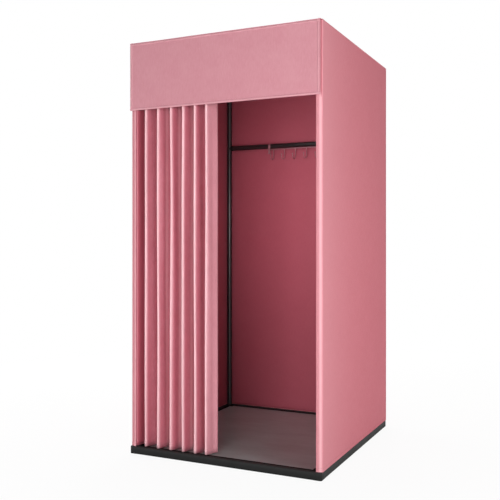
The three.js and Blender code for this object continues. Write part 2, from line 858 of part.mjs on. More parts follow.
// A hook is one bent wire, from the bar down, round and up to its ball tip.
function rackHook(x) {
  const shankY = barFrontY - seatGap - hookWireRadius;
  const top = railHeight - barDrop;
  const samples = tracePath(shankY, top, -Math.PI / 2, [
    { straight: hookShank },
    { radius: hookBend, turn: -180 },
    { straight: hookTip },
  ]);
  const points = samples.map((s) => new THREE.Vector3(x, s.x, s.y));
  const route = new THREE.CurvePath();
  for (let i = 1; i < points.length; i += 1) {
    route.add(new THREE.LineCurve3(points[i - 1], points[i]));
  }
  const section = new THREE.Shape(
    Array.from({ length: wireSides }, (_, i) => {
      const angle = (i * 2 * Math.PI) / wireSides;
      return new THREE.Vector2(hookWireRadius * Math.cos(angle), hookWireRadius * Math.sin(angle));
    }),
  );
  const wire = new THREE.ExtrudeGeometry(section, { steps: wireSteps, extrudePath: route });
  const tip = points[points.length - 1];
  const ball = new THREE.SphereGeometry(hookBallRadius, tubeSides / 2, tubeSides / 3);
  return joined(wire, ball.translate(tip.x, tip.y, tip.z));
}

function buildHookRack() {
  addPiece("hook_rack_frame", rackFrame(), "roseMetal");
  for (let i = 0; i < hookCount; i += 1) {
    const x = (i - (hookCount - 1) / 2) * hookPitch;
    addPiece(`rack_hook_${i + 1}`, rackHook(x), "roseMetal");
  }
}

buildBase();
buildFloor();
buildFrame();
buildHangingRail();
buildCurtain();
buildCovers();
buildHookRack();

export default booth;
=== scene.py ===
import math

import bmesh
import bpy
import numpy as np
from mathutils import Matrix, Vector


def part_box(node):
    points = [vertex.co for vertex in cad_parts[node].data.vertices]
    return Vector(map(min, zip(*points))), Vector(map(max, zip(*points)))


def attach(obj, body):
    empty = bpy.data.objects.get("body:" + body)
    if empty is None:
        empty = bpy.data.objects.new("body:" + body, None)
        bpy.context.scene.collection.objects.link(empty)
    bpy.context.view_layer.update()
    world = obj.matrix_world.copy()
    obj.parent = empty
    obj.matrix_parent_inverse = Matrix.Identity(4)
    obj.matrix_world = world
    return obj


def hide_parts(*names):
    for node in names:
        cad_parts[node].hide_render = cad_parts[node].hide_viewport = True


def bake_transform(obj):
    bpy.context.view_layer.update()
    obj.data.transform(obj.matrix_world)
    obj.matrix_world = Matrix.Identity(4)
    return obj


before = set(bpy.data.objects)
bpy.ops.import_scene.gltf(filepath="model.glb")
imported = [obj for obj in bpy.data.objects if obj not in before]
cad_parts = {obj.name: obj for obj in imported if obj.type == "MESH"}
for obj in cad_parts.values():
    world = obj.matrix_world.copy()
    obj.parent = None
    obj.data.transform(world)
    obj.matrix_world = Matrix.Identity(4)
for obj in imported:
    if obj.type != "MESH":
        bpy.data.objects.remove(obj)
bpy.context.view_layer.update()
scene = bpy.context.scene
print("stage: frame loaded with", len(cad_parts), "nodes")


# Camera: eye height and distance follow from how the booth's edges converge

cameraSetup = {
    "place": (1.603, -3.364, 1.047),
    "turnLeft": 24.11,  # degrees away from straight back
    "imageSide": 500,
    "focalPixels": 711.9,
    "axisPixel": (283.68, 239.13),  # where the camera's axis meets the picture
    "sensor": 36,
    "clip": (0.05, 60),
}


def makeCamera(setup):
    camera = bpy.data.cameras.new("boothCamera")
    camera.sensor_width = setup["sensor"]
    camera.lens = setup["focalPixels"] / setup["imageSide"] * setup["sensor"]
    camera.shift_x = 0.5 - setup["axisPixel"][0] / setup["imageSide"]
    camera.shift_y = setup["axisPixel"][1] / setup["imageSide"] - 0.5
    camera.clip_start, camera.clip_end = setup["clip"]
    holder = bpy.data.objects.new("boothCamera", camera)
    holder.location = setup["place"]
    holder.rotation_euler = (math.pi / 2, 0, math.radians(setup["turnLeft"]))
    scene.collection.objects.link(holder)
    scene.camera = holder


makeCamera(cameraSetup)
print("stage: camera placed")


# Numbers and places

def cornersOf(node):
    low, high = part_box(node)
    return np.array(low), np.array(high)


def unit(vectors):
    return vectors / np.linalg.norm(vectors, axis=-1, keepdims=True)


def smoothStep(value, start, end):
    share = np.clip((value - start) / (end - start), 0, 1)
    return share * share * (3 - 2 * share)


# Colour written as it looks on a screen, 0 to 255, turned into linear light
def paint(red, green, blue):
    shown = np.array([red, green, blue]) / 255
    linear = np.where(shown <= 0.04045, shown / 12.92, ((shown + 0.055) / 1.055) ** 2.4)
    return (*linear.tolist(), 1)


# Places of grid lines over a length: even steps, with five close ones about each mark
def gridLines(length, step, marks, near=0.0012):
    even = np.linspace(0, length, int(np.ceil(length / step)) + 1)
    close = [mark + near * np.arange(-2, 3) for mark in marks]
    every = np.sort(np.concatenate([even, *close]))
    every = every[(every > 2 * near / 3) & (every < length - 2 * near / 3)]
    every = every[np.concatenate([[True], np.diff(every) > near / 2])]
    return np.concatenate([[0], every, [length]])


pathSteps = {"straight": 4, "arc": 32}  # points kept on one stretch of a path


# A path in a plane from a start, a heading in degrees and stretches: ("straight", length) or
# ("arc", radius, degrees), which turns left, or right if negative. Kept as distance walked,
# points and heading, so that any place on it is read by its distance.
def walkPath(start, heading, stretches):
    turn = math.radians(heading)
    distance, points, headings = [np.zeros(1)], [np.array([start], float)], [np.array([turn])]
    for kind, size, *more in stretches:
        here = points[-1][-1]
        if kind == "straight":
            share = np.linspace(0, 1, pathSteps[kind] + 1)[1:, None]
            ahead = np.array([math.cos(turn), math.sin(turn)])
            points.append(here + share * size * ahead)
            headings.append(np.full(len(share), turn))
            distance.append(distance[-1][-1] + share[:, 0] * size)
            continue
        angle = math.radians(more[0])
        side = math.copysign(1, angle)
        centre = here + side * size * np.array([-math.sin(turn), math.cos(turn)])
        turns = turn + np.linspace(0, angle, pathSteps[kind] + 1)[1:]
        points.append(centre + side * size * np.stack([np.sin(turns), -np.cos(turns)], axis=1))
        headings.append(turns)
        distance.append(distance[-1][-1] + size * np.abs(turns - turn))
        turn += angle
    return {
        "s": np.concatenate(distance),
        "points": np.concatenate(points),
        "heading": np.concatenate(headings),
        "length": distance[-1][-1],
    }


# Point and left-hand normal of a path at distances s
def pathAt(path, s):
    point = np.stack([np.interp(s, path["s"], path["points"][:, k]) for k in (0, 1)], axis=-1)
    heading = np.interp(s, path["s"], path["heading"])
    return point, np.stack([-np.sin(heading), np.cos(heading)], axis=-1)


# Points and normals of a path in space, lifted off along its normal. A path seen from above gets
# its height as third coordinate, and an upright one, in the plane of Y and Z, its X.
def pathInSpace(path, s, third, lift=0.0, upright=False):
    s, third = np.broadcast_arrays(s, third)
    spot, normal = pathAt(path, s)
    third = third[:, None]
    pairs = [(spot + lift * normal, third), (normal, 0 * third)]
    return [np.hstack(pair[::-1] if upright else pair) for pair in pairs]


# Meshes

# Quads over a grid of points. A wrapped direction joins its last line to its first.
def gridQuads(rows, columns, wrapRows=False, wrapColumns=False):
    row = np.arange(rows if wrapRows else rows - 1)[:, None]
    column = np.arange(columns if wrapColumns else columns - 1)[None, :]
    nextRow, nextColumn = (row + 1) % rows, (column + 1) % columns
    here, across = row * columns + column, row * columns + nextColumn
    along, far = nextRow * columns + column, nextRow * columns + nextColumn
    return np.stack([here, across, far, along], axis=-1).reshape(-1, 4)


# Marks are float values, one for each grid point, that a material reads by their name
def meshObject(name, points, quads, uv=None, **marks):
    mesh = bpy.data.meshes.new(name)
    mesh.from_pydata(points.reshape(-1, 3).tolist(), [], quads.tolist())
    if uv is not None:
        layer = mesh.uv_layers.new(name="clothMap")
        layer.data.foreach_set("uv", uv.reshape(-1, 2)[quads.ravel()].astype(np.float32).ravel())
    for label, values in marks.items():
        mark = mesh.attributes.new(label, "FLOAT", "POINT")
        mark.data.foreach_set("value", values.astype(np.float32).ravel())
    mesh.polygons.foreach_set("use_smooth", np.ones(len(mesh.polygons), bool))
    made = bpy.data.objects.new(name, mesh)
    scene.collection.objects.link(made)
    return made


# Joins doubled points, such as a pole's, and turns every face of a closed shape outwards
def closeUp(made, sharpAngle=None, merge=1e-6):
    work = bmesh.new()
    work.from_mesh(made.data)
    bmesh.ops.remove_doubles(work, verts=work.verts, dist=merge)
    bmesh.ops.dissolve_degenerate(work, edges=work.edges, dist=merge / 10)
    bmesh.ops.recalc_face_normals(work, faces=work.faces)
    work.to_mesh(made.data)
    work.free()
    if sharpAngle is not None:
        made.data.set_sharp_from_angle(angle=math.radians(sharpAngle))
    return made


def finishPiece(made, material, body="booth", replaced=()):
    for each in material if isinstance(material, (list, tuple)) else [material]:
        made.data.materials.append(each)
    if replaced:
        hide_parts(*replaced)
    if body:
        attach(made, body)
    return made


# A closed tube or rod: the section, a loop of (radius, distance along), turned about an axis line.
# Point = centre + distance * axis + radius * (cos a * first side + sin a * second side).
def turnedPiece(name, section, centre, axis, sides, sharpAngle=35):
    section = np.array(section, float)
    axis = unit(np.array(axis, float))
    helper = np.array([1.0, 0, 0]) if abs(axis[0]) < 0.9 else np.array([0, 1.0, 0])
    first = unit(np.cross(axis, helper))
    second = np.cross(axis, first)
    angle = np.linspace(0, 2 * np.pi, sides, endpoint=False)[:, None, None]
    spoke = np.cos(angle) * first + np.sin(angle) * second
    points = np.array(centre) + section[None, :, 1:] * axis + section[None, :, :1] * spoke
    made = meshObject(name, points, gridQuads(sides, len(section), True, True))
    return closeUp(made, sharpAngle)


# A profile carried along a path: point = path + u * first side + v * second side, where (u, v)
# are the profile's points times the scale at that step. A step of no size closes each end.
def carriedPiece(name, path, first, second, profile, scale=1.0, sharpAngle=35):
    path, first, second = (
        np.concatenate([a[:1], a, a[-1:]])[:, None]
        for a in np.broadcast_arrays(path, first, second)
    )
    scale = np.concatenate([[0], np.broadcast_to(scale, len(path) - 2), [0]])
    u, v = (scale[:, None, None] * profile[None, :, [k]] for k in (0, 1))
    quads = gridQuads(len(path), len(profile), wrapColumns=True)
    return closeUp(meshObject(name, path + u * first + v * second, quads), sharpAngle)


def circleProfile(radius, sides):
    angle = np.linspace(0, 2 * np.pi, sides, endpoint=False)
    return radius * np.stack([np.cos(angle), np.sin(angle)], axis=1)


# Rectangle with rounded corners about its centre: each corner is a quarter circle
def roundedProfile(width, height, radius, steps=3):
    quarter = np.linspace(0, np.pi / 2, steps + 1)
    corner = []
    for turn, (sideU, sideV) in enumerate([(1, 1), (-1, 1), (-1, -1), (1, -1)]):
        angle = quarter + turn * np.pi / 2
        middle = np.array([sideU * (width / 2 - radius), sideV * (height / 2 - radius)])
        corner.append(middle + radius * np.stack([np.cos(angle), np.sin(angle)], axis=1))
    return np.concatenate(corner)


# Materials

# Sets a node's socket to a value, or links it where the value is another node's socket
def feed(tree, socket, value):
    if isinstance(value, bpy.types.NodeSocket):
        tree.links.new(value, socket)
    else:
        socket.default_value = value


def addNode(tree, kind, inputs=None, **settings):
    made = tree.nodes.new(kind)
    for name, value in settings.items():
        setattr(made, name, value)
    for name, value in (inputs or {}).items():
        feed(tree, made.inputs[name], value)
    return made


def maths(tree, operation, first, second=0.0, third=None, clamp=False):
    inputs = {0: first, 1: second} if third is None else {0: first, 1: second, 2: third}
    return addNode(tree, "ShaderNodeMath", inputs, operation=operation, use_clamp=clamp).outputs[0]


def stretched(tree, vector, scales):
    inputs = {0: vector, 1: scales}
    return addNode(tree, "ShaderNodeVectorMath", inputs, operation="MULTIPLY").outputs[0]


def noise(tree, vector, scale, detail, roughness=0.5):
    inputs = {"Vector": vector, "Scale": scale, "Detail": detail, "Roughness": roughness}
    return addNode(tree, "ShaderNodeTexNoise", inputs).outputs["Fac"]


def ramp(tree, value, low, high, toLow=0.0, toHigh=1.0):
    inputs = {"Value": value, "From Min": low, "From Max": high, "To Min": toLow, "To Max": toHigh}
    return addNode(tree, "ShaderNodeMapRange", inputs, clamp=True).outputs["Result"]


# In a Mix node for colours the sockets that count are 0, 6 and 7, and its colour leaves by 2
def mixColour(tree, share, first, second):
    inputs = {0: share, 6: first, 7: second}
    return addNode(tree, "ShaderNodeMix", inputs, data_type="RGBA").outputs[2]


def axesOf(tree, vector):
    return addNode(tree, "ShaderNodeSeparateXYZ", {0: vector}).outputs


def objectPlace(tree):
    return addNode(tree, "ShaderNodeTexCoord").outputs["Object"]


def faceNormal(tree):
    return addNode(tree, "ShaderNodeNewGeometry").outputs["Normal"]


def newGroup(name, inputs, outputs):
    tree = bpy.data.node_groups.new(name, "ShaderNodeTree")
    for label, kind, value in inputs:
        socket = tree.interface.new_socket(label, in_out="INPUT", socket_type="NodeSocket" + kind)
        socket.default_value = value
    for label, kind in outputs:
        tree.interface.new_socket(label, in_out="OUTPUT", socket_type="NodeSocket" + kind)
    entry, leave = tree.nodes.new("NodeGroupInput"), tree.nodes.new("NodeGroupOutput")
    return tree, entry.outputs, leave.inputs


def placeGroup(tree, group, inputs):
    return addNode(tree, "ShaderNodeGroup", inputs, node_tree=group).outputs


# Threads per metre and scales of the weave's noises, along the first and second way of the cloth
weaveSetup = {
    "warp": (1400, 60, 1),
    "weft": (60, 1400, 1),
    "nap": (150, 34, 1),
    "weaveHeight": 0.28,
    "slubHeight": 0.36,
    "slowShare": 0.45,  # of the mottling, against the nap's
    "roughness": (0.38, 0.5),
}


# Plain weave with mottled dye. Height: warp and weft swell and dip in turn, as
# sin(2 pi u / thread) * sin(2 pi v / thread), roughened by slubs drawn out along each thread.
# Colour: slow mottling, short nap streaks and a fine fleck shift the tone towards the deep one.
def wovenClothGroup(setup):
    tree, given, out = newGroup(
        "wovenCloth",
        [
            ("Place", "Vector", (0, 0, 0)),
            ("Thread", "Float", 0.0011),
            ("Tone", "Color", (1, 1, 1, 1)),
            ("Deep", "Color", (0.5, 0.5, 0.5, 1)),
            ("Mottle", "Float", 0.3),
            ("Fleck", "Float", 0.2),
        ],
        [("Colour", "Color"), ("Height", "Float"), ("Roughness", "Float")],
    )
    place = given["Place"]
    across = axesOf(tree, place)
    turns = [
        maths(tree, "MULTIPLY", maths(tree, "DIVIDE", across[k], given["Thread"]), 2 * math.pi)
        for k in (0, 1)
    ]
    weave = maths(tree, "MULTIPLY", maths(tree, "SINE", turns[0]), maths(tree, "SINE", turns[1]))
    warpSlub = noise(tree, stretched(tree, place, setup["warp"]), scale=1.0, detail=1.0)
    weftSlub = noise(tree, stretched(tree, place, setup["weft"]), scale=1.0, detail=1.0)
    slub = maths(tree, "ADD", warpSlub, weftSlub)
    raised = maths(tree, "MULTIPLY", slub, setup["slubHeight"])
    tree.links.new(maths(tree, "MULTIPLY_ADD", weave, setup["weaveHeight"], raised), out["Height"])
    slow = noise(tree, place, scale=9.0, detail=4.0, roughness=0.6)
    nap = noise(tree, stretched(tree, place, setup["nap"]), scale=1.0, detail=4.0, roughness=0.62)
    streaks = maths(tree, "MULTIPLY", nap, 1 - setup["slowShare"])
    mottle = maths(tree, "MULTIPLY_ADD", slow, setup["slowShare"], streaks)
    mottle = maths(tree, "MULTIPLY", ramp(tree, mottle, low=0.34, high=0.66), given["Mottle"])
    fleck = maths(tree, "MULTIPLY", ramp(tree, slub, low=0.7, high=1.3), given["Fleck"])
    share = maths(tree, "ADD", mottle, fleck, clamp=True)
    tree.links.new(mixColour(tree, share, given["Tone"], given["Deep"]), out["Colour"])
    smooth, rough = setup["roughness"]
    roughness = ramp(tree, nap, low=0.3, high=0.7, toLow=smooth, toHigh=rough)
    tree.links.new(roughness, out["Roughness"])
    return tree


# Grain of a coated or moulded surface: fine cells for height, slow smears for roughness, and
# dust in specks on what looks upwards
def surfaceGrainGroup():
    tree, given, out = newGroup(
        "surfaceGrain",
        [("Place", "Vector", (0, 0, 0)), ("Cells", "Float", 900.0), ("Smear", "Float", 14.0)],
        [("Height", "Float"), ("Smears", "Float"), ("Dust", "Float")],
    )
    place = given["Place"]
    cells = noise(tree, place, given["Cells"], detail=2.0, roughness=0.6)
    smears = noise(tree, place, given["Smear"], detail=4.0, roughness=0.6)
    upward = axesOf(tree, faceNormal(tree))[2]
    specks = noise(tree, place, scale=60.0, detail=5.0, roughness=0.7)
    specks = ramp(tree, specks, low=0.42, high=0.7)
    dust = maths(tree, "MULTIPLY", ramp(tree, upward, low=0.5, high=1.0), specks)
    tree.links.new(cells, out["Height"])
    tree.links.new(ramp(tree, smears, low=0.3, high=0.7), out["Smears"])
    tree.links.new(dust, out["Dust"])
    return tree


# Worn edges, which also stand in for a painted highlight along edges: where a rounded normal leans
# away from the face's own normal, broken up by noise
def edgeWearAndHighlightGroup():
    tree, given, out = newGroup(
        "edgeWearAndHighlight",
        [("Place", "Vector", (0, 0, 0)), ("Reach", "Float", 0.0015), ("Amount", "Float", 0.6)],
        [("WearAndHighlight", "Float")],
    )
    rounded = addNode(tree, "ShaderNodeBevel", {"Radius": given["Reach"]}, samples=4).outputs[0]
    inputs = {0: rounded, 1: faceNormal(tree)}
    lean = addNode(tree, "ShaderNodeVectorMath", inputs, operation="DOT_PRODUCT").outputs["Value"]
    edge = ramp(tree, lean, low=0.99, high=0.8)
    patches = noise(tree, given["Place"], scale=180.0, detail=4.0, roughness=0.7)
    patches = ramp(tree, patches, low=0.4, high=0.62)
    worn = maths(tree, "MULTIPLY", maths(tree, "MULTIPLY", edge, patches), given["Amount"])
    tree.links.new(worn, out["WearAndHighlight"])
    return tree


wovenCloth = wovenClothGroup(weaveSetup)
surfaceGrain = surfaceGrainGroup()
edgeWearAndHighlight = edgeWearAndHighlightGroup()


def startMaterial(name, **constants):
    material = bpy.data.materials.new(name)
    material.use_nodes = True
    tree = material.node_tree
    shader = tree.nodes["Principled BSDF"]
    for label, value in constants.items():
        shader.inputs[label.replace("_", " ")].default_value = value
    return material, tree, shader


def joinBump(tree, shader, height, depth):
    bump = addNode(tree, "ShaderNodeBump", {"Height": height, "Distance": depth, "Strength": 1.0})
    tree.links.new(bump.outputs["Normal"], shader.inputs["Normal"])


# Tones of the cloths and threads as they look on a screen. Each pale tone is a painted highlight, and
# each deep tone serves both for the dye's mottling and for painted shade
clothTones = {
    "cover": paint(207, 119, 130),
    "coverDeep": paint(184, 92, 104),
    "coverPale": paint(236, 180, 187),
    # The valance's tones are paler than the cover's: a painted sheen on the front-facing cloth
    "valance": paint(208, 148, 157),
    "valanceDeep": paint(192, 122, 134),
    "valancePale": paint(228, 176, 183),
    "curtain": paint(206, 127, 141),
    "curtainDeep": paint(174, 82, 97),
    "curtainPale": paint(248, 198, 204),
    # The lining's tones are a darker copy of the cover's: painted shade for the booth's inside
    "lining": paint(183, 92, 107),
    "liningDeep": paint(166, 76, 90),
    "liningPale": paint(207, 119, 130),
    "thread": paint(232, 176, 184),
    "deepThread": paint(160, 84, 96),
}
clothSurface = {
    "thread": 0.0011,  # width of a thread
    "depth": 0.0002,  # of the weave
    "sheenTint": paint(255, 214, 220),
    "specularTint": paint(255, 226, 229),
}


# Cloth with painted light from two marks of its mesh: a painted highlight in its pale tone where the
# highlight mark is high, and painted shade in its deep tone where the furrow mark is high
def clothMaterial(name, part, mottle, fleck, gloss, sheen=0.05):
    tone, deep, pale = (clothTones[part + shade] for shade in ("", "Deep", "Pale"))
    material, tree, shader = startMaterial(
        name,
        Sheen_Weight=sheen,
        Sheen_Roughness=0.3,
        Sheen_Tint=clothSurface["sheenTint"],
        Specular_IOR_Level=gloss,
        Specular_Tint=clothSurface["specularTint"],
    )
    place = addNode(tree, "ShaderNodeUVMap", uv_map="clothMap").outputs[0]
    inputs = {"Place": place, "Thread": clothSurface["thread"], "Tone": tone, "Deep": deep}
    woven = placeGroup(tree, wovenCloth, {**inputs, "Mottle": mottle, "Fleck": fleck})
    crest, furrow = (
        addNode(tree, "ShaderNodeAttribute", attribute_name=label).outputs["Fac"]
        for label in ("crest", "furrow")
    )
    # Painted highlight, then painted shade, over the woven colour
    shade = mixColour(tree, crest, woven["Colour"], pale)
    tree.links.new(mixColour(tree, furrow, shade, deep), shader.inputs["Base Color"])
    tree.links.new(woven["Roughness"], shader.inputs["Roughness"])
    joinBump(tree, shader, woven["Height"], clothSurface["depth"])
    return material


# Heights above the ground between which a foot tone gives way to the material's own
footReach = (0.008, 0.034)


# Coated, moulded or sewn surface: its tone, that of worn edges and of dust, its range of
# roughness, cells per metre and depth of its grain, how much wear and dust show, and the tone
# near the ground
def hardMaterial(
    name, tone, worn, dusty, rough, cells, wear, grain=0.00003, dust=0.15, foot=None, **more
):
    material, tree, shader = startMaterial(name, **more)
    place = objectPlace(tree)
    if foot:
        level = axesOf(tree, place)[2]
        tone = mixColour(tree, ramp(tree, level, *footReach), foot, tone)
    grained = placeGroup(tree, surfaceGrain, {"Place": place, "Cells": cells})
    edges = placeGroup(tree, edgeWearAndHighlight, {"Place": place, "Amount": wear})
    lit = mixColour(tree, maths(tree, "MULTIPLY", grained["Dust"], dust), tone, dusty)
    # Paler worn edges: real wear and a painted edge highlight
    tree.links.new(mixColour(tree, edges["WearAndHighlight"], lit, worn), shader.inputs["Base Color"])
    roughness = ramp(tree, grained["Smears"], low=0, high=1, toLow=rough[0], toHigh=rough[1])
    tree.links.new(roughness, shader.inputs["Roughness"])
    joinBump(tree, shader, grained["Height"], grain)
    return material


coverCloth = clothMaterial("coverCloth", "cover", mottle=0.2, fleck=0.12, gloss=0.02, sheen=0.0)
valanceCloth = clothMaterial("valanceCloth", "valance", mottle=0.5, fleck=0.2, gloss=0.4)
curtainCloth = clothMaterial("curtainCloth", "curtain", mottle=0.45, fleck=0.25, gloss=1.0, sheen=0.35)
shadedLiningCloth = clothMaterial("shadedCoverLining", "lining", mottle=0.3, fleck=0.2, gloss=0.2, sheen=0.0)
sewingThread, deepThread = (
    hardMaterial(
        name, clothTones[tone], worn=clothTones["cover"], dusty=clothTones["cover"],
        rough=(0.5, 0.65), cells=2500.0, grain=0.00008, wear=0.0, dust=0.0,
    )
    for name, tone in (("sewingThread", "thread"), ("deepThread", "deepThread"))
)
coatedSteel = hardMaterial(
    "coatedSteel", paint(29, 30, 30), worn=paint(96, 96, 95), dusty=paint(92, 87, 84),
    rough=(0.285, 0.34), cells=1400.0, grain=0.00004, wear=0.35, dust=0.2,
    Specular_IOR_Level=0.85,
)
baseSteel = hardMaterial(
    "baseSteel", paint(39, 39, 39), worn=paint(88, 88, 87), dusty=paint(84, 80, 77),
    rough=(0.55, 0.68), cells=1100.0, grain=0.00005, wear=0.3, foot=paint(18, 19, 19),
    Specular_IOR_Level=0.16,
)
mouldedPlastic = hardMaterial(
    "mouldedPlastic", paint(39, 39, 39), worn=paint(80, 80, 80), dusty=paint(84, 80, 77),
    rough=(0.55, 0.68), cells=700.0, grain=0.00006, wear=0.3, foot=paint(18, 19, 19),
    Specular_IOR_Level=0.16,
)
footRubber = hardMaterial(
    "footRubber", paint(27, 27, 28), worn=paint(60, 60, 60), dusty=paint(90, 86, 84),
    rough=(0.7, 0.85), cells=420.0, grain=0.0001, wear=0.2, dust=0.3,
)
trackAluminium = hardMaterial(
    "trackAluminium", paint(188, 189, 191), worn=paint(226, 226, 226), dusty=paint(160, 156, 152),
    rough=(0.29, 0.42), cells=2200.0, grain=0.00002, wear=0.4, dust=0.1, Metallic=1.0,
)
gliderNylon = hardMaterial(
    "gliderNylon", paint(232, 229, 222), worn=paint(244, 243, 240), dusty=paint(190, 184, 176),
    rough=(0.36, 0.5), cells=500.0, wear=0.2, dust=0.1, Subsurface_Weight=0.08,
)
roseMetal = hardMaterial(
    "roseMetal", paint(172, 122, 130), worn=paint(206, 168, 172), dusty=paint(140, 98, 104),
    rough=(0.285, 0.38), cells=1800.0, grain=0.00002, wear=0.35, dust=0.1, Metallic=0.35,
)

floorTones = {
    "dark": paint(134, 141, 140),
    "pale": paint(156, 163, 162),
    "vein": paint(176, 183, 182),
    "pit": paint(128, 134, 133),
    "pitDepth": 0.00002,
    "roughness": (0.285, 0.37),
}


# Grey stone-effect vinyl: broad clouds, fine veins drawn out across the board and small pits,
# under a gloss that changes with the clouds.
def floorMaterial(setup):
    material, tree, shader = startMaterial(
        "floorVinyl", Specular_IOR_Level=0.5, Coat_Roughness=0.29, Coat_Weight=0.3
    )
    place = objectPlace(tree)
    broad, drawn = stretched(tree, place, (4.0, 9.0, 5.0)), stretched(tree, place, (9.0, 46.0, 16.0))
    clouds = noise(tree, broad, scale=1.0, detail=6.0, roughness=0.6)
    veins = noise(tree, drawn, scale=1.0, detail=5.0, roughness=0.65)
    pits = noise(tree, place, scale=420.0, detail=3.0, roughness=0.6)
    shade = mixColour(tree, ramp(tree, clouds, low=0.34, high=0.66), setup["dark"], setup["pale"])
    veined = ramp(tree, veins, low=0.48, high=0.74, toHigh=0.3)
    shade = mixColour(tree, veined, shade, setup["vein"])
    pitted = ramp(tree, pits, low=0.58, high=0.72, toHigh=0.25)
    tree.links.new(mixColour(tree, pitted, shade, setup["pit"]), shader.inputs["Base Color"])
    smooth, rough = setup["roughness"]
    roughness = ramp(tree, clouds, low=0.3, high=0.7, toLow=smooth, toHigh=rough)
    tree.links.new(roughness, shader.inputs["Roughness"])
    joinBump(tree, shader, pits, setup["pitDepth"])
    return material


floorVinyl = floorMaterial(floorTones)
print("stage: materials mixed")


# Sewing

stitchSetup = {
    "length": 0.0034,
    "pitch": 0.0052,
    "radius": 0.00038,
    "rise": 0.00034,
    "rings": [-1, -0.72, 0, 0.72, 1],  # places along a stitch, from heel to toe
    "sides": 5,
}


# Stitches end to end along a line: each is a ring of points carried from heel to toe. Its radius
# follows sqrt(1 - t^4) and its rise 1 - t^2, so that both ends sink into the cloth.
def stitchPoints(line, outward, setup):
    walked = np.concatenate([[0], np.cumsum(np.linalg.norm(np.diff(line, axis=0), axis=1))])
    count = max(1, int(walked[-1] // setup["pitch"]))
    middle = (np.arange(count) + 0.5) * walked[-1] / count

    def along(values, places):
        return np.stack([np.interp(places, walked, values[:, k]) for k in range(3)], axis=1)

    half = setup["length"] / 2
    centre = along(line, middle)
    ahead = unit(along(line, middle + half) - along(line, middle - half))
    up = along(np.broadcast_to(outward, line.shape), middle)
    up = unit(up - np.sum(up * ahead, axis=1, keepdims=True) * ahead)
    side = np.cross(up, ahead)
    t = np.array(setup["rings"])
    swell = np.sqrt(np.maximum(1 - t ** 4, 0))
    angle = np.linspace(0, 2 * np.pi, setup["sides"], endpoint=False)
    axisPoint = centre[:, None] + t[None, :, None] * half * ahead[:, None]
    axisPoint = axisPoint + ((1 - t ** 2) * setup["rise"])[None, :, None] * up[:, None]
    ringUp = np.cos(angle)[None, None, :, None] * up[:, None, None]
    ringSide = np.sin(angle)[None, None, :, None] * side[:, None, None]
    reach = (swell * setup["radius"])[None, :, None, None]
    return axisPoint[:, :, None] + reach * (ringUp + ringSide)


def stitchPiece(name, runs, thread, body="booth"):
    blocks = [stitchPoints(line, outward, stitchSetup) for line, outward in runs]
    points = np.concatenate(blocks)
    count, rings, sides = points.shape[:3]
    quads = gridQuads(rings, sides, wrapColumns=True)
    every = quads[None] + (np.arange(count) * rings * sides)[:, None, None]
    made = closeUp(meshObject(name, points, every.reshape(-1, 4)), merge=1e-7)
    return finishPiece(made, thread, body)


# Covers

coverSetup = {
    "cloth": 0.0015,  # thickness
    "standOut": 0.0002,  # outer face inside the frame's box
    "settle": 0.0008,  # how far ripples lie inside the outer face
    "step": 0.022,  # of the grid across, and a share more upwards
    "upShare": 1.4,
    "hem": {"width": 0.020, "rise": 0.0007, "stitch": 0.0165},
    "edge": {"width": 0.0085, "rise": 0.0010, "stitch": 0.0092, "furrow": 0.0014},
    "binding": {"height": 0.006, "rise": 0.0016},  # rolled lower edge
    "bindingLines": (1.2, 9),  # close grid lines over it: how far, in its heights, and how many
    "corner": [(0.008, 58), (0.032, 32)],  # radius and turn of the front corner, side to front
    "cornerLines": 9,  # of the grid, over each of them
    "returnLines": (0.004, 0.034, 21),  # close ones, in from the doorway: from, to, how many
    "seamWidth": 0.004,  # taken up by the close lines at the doorway's seam
    "rearPhase": 0.4,  # shift of the rear cover's ripples
    "threadLift": 0.0002,
    "threadSteps": (240, 60),  # places that a row of stitches follows, along and up
    "ripples": [  # height in metres, waves along, waves up, phase
        (0.0005, 1.3, 0.6, 0.4),
        (0.0004, 0.7, 2.1, 1.9),
        (0.0002, 3.6, 1.4, 4.1),
    ],
    "cord": {  # sewn along the foot
        "radius": 0.0014,
        "inset": 0.0034,
        "ends": 0.0064,
        "sides": 12,
        "steps": 13,
        "sharpAngle": 50,
    },
    # Painted light on the side covers
    "tones": {
        "right": (0.0195, 0.009),  # place and width of a painted highlight band on a return, in from the doorway
        "left": (0.0055, 0.0045),
        "amount": 0.95,
        "behindValance": 0.6,  # how much weaker the painted highlight band is there
        "paintedLightReach": 0.36,  # painted light: paler cloth towards the front
        "paintedLightAmount": 0.38,
        "paintedShadowPlace": 0.0235,  # painted shadow: dark line beside the valance
        "paintedShadowWidth": 0.0022,
        "paintedShadowAmount": 0.8,
    },
}
# Of every hem: half the length of its step, and the furrow of its thread
hemStep = {"half": 0.001, "furrowWidth": 0.0013, "furrow": 0.0004}


# Bell curve: 1 at the middle, exp(-((distance - middle) / width)^2) beside it
def bell(distance, middle, width):
    return np.exp(-((distance - middle) / width) ** 2)


# Half circle over places from -1 to 1 across it, and nothing beyond
def halfRound(across):
    return np.sqrt(np.clip(1 - across ** 2, 0, 1))


# How far cloth stands out near a sewn edge: a raised hem of even height that steps down at its
# inner side, with a fine furrow where the thread pulls it in.
def hemRise(distance, hem):
    raised = 1 - smoothStep(distance, hem["width"] - hemStep["half"], hem["width"] + hemStep["half"])
    furrow = bell(distance, hem["stitch"], hemStep["furrowWidth"])
    return hem["rise"] * raised - hem.get("furrow", hemStep["furrow"]) * furrow


# The same hem along both ends of a length
def bothHems(distance, length, hem):
    return np.maximum(hemRise(distance, hem), hemRise(length - distance, hem))


# Welt: a round cord sewn in along a seam, width across and rise high
def weltRise(distance, welt):
    return welt["rise"] * halfRound(2 * (distance - welt["place"]) / welt["width"])


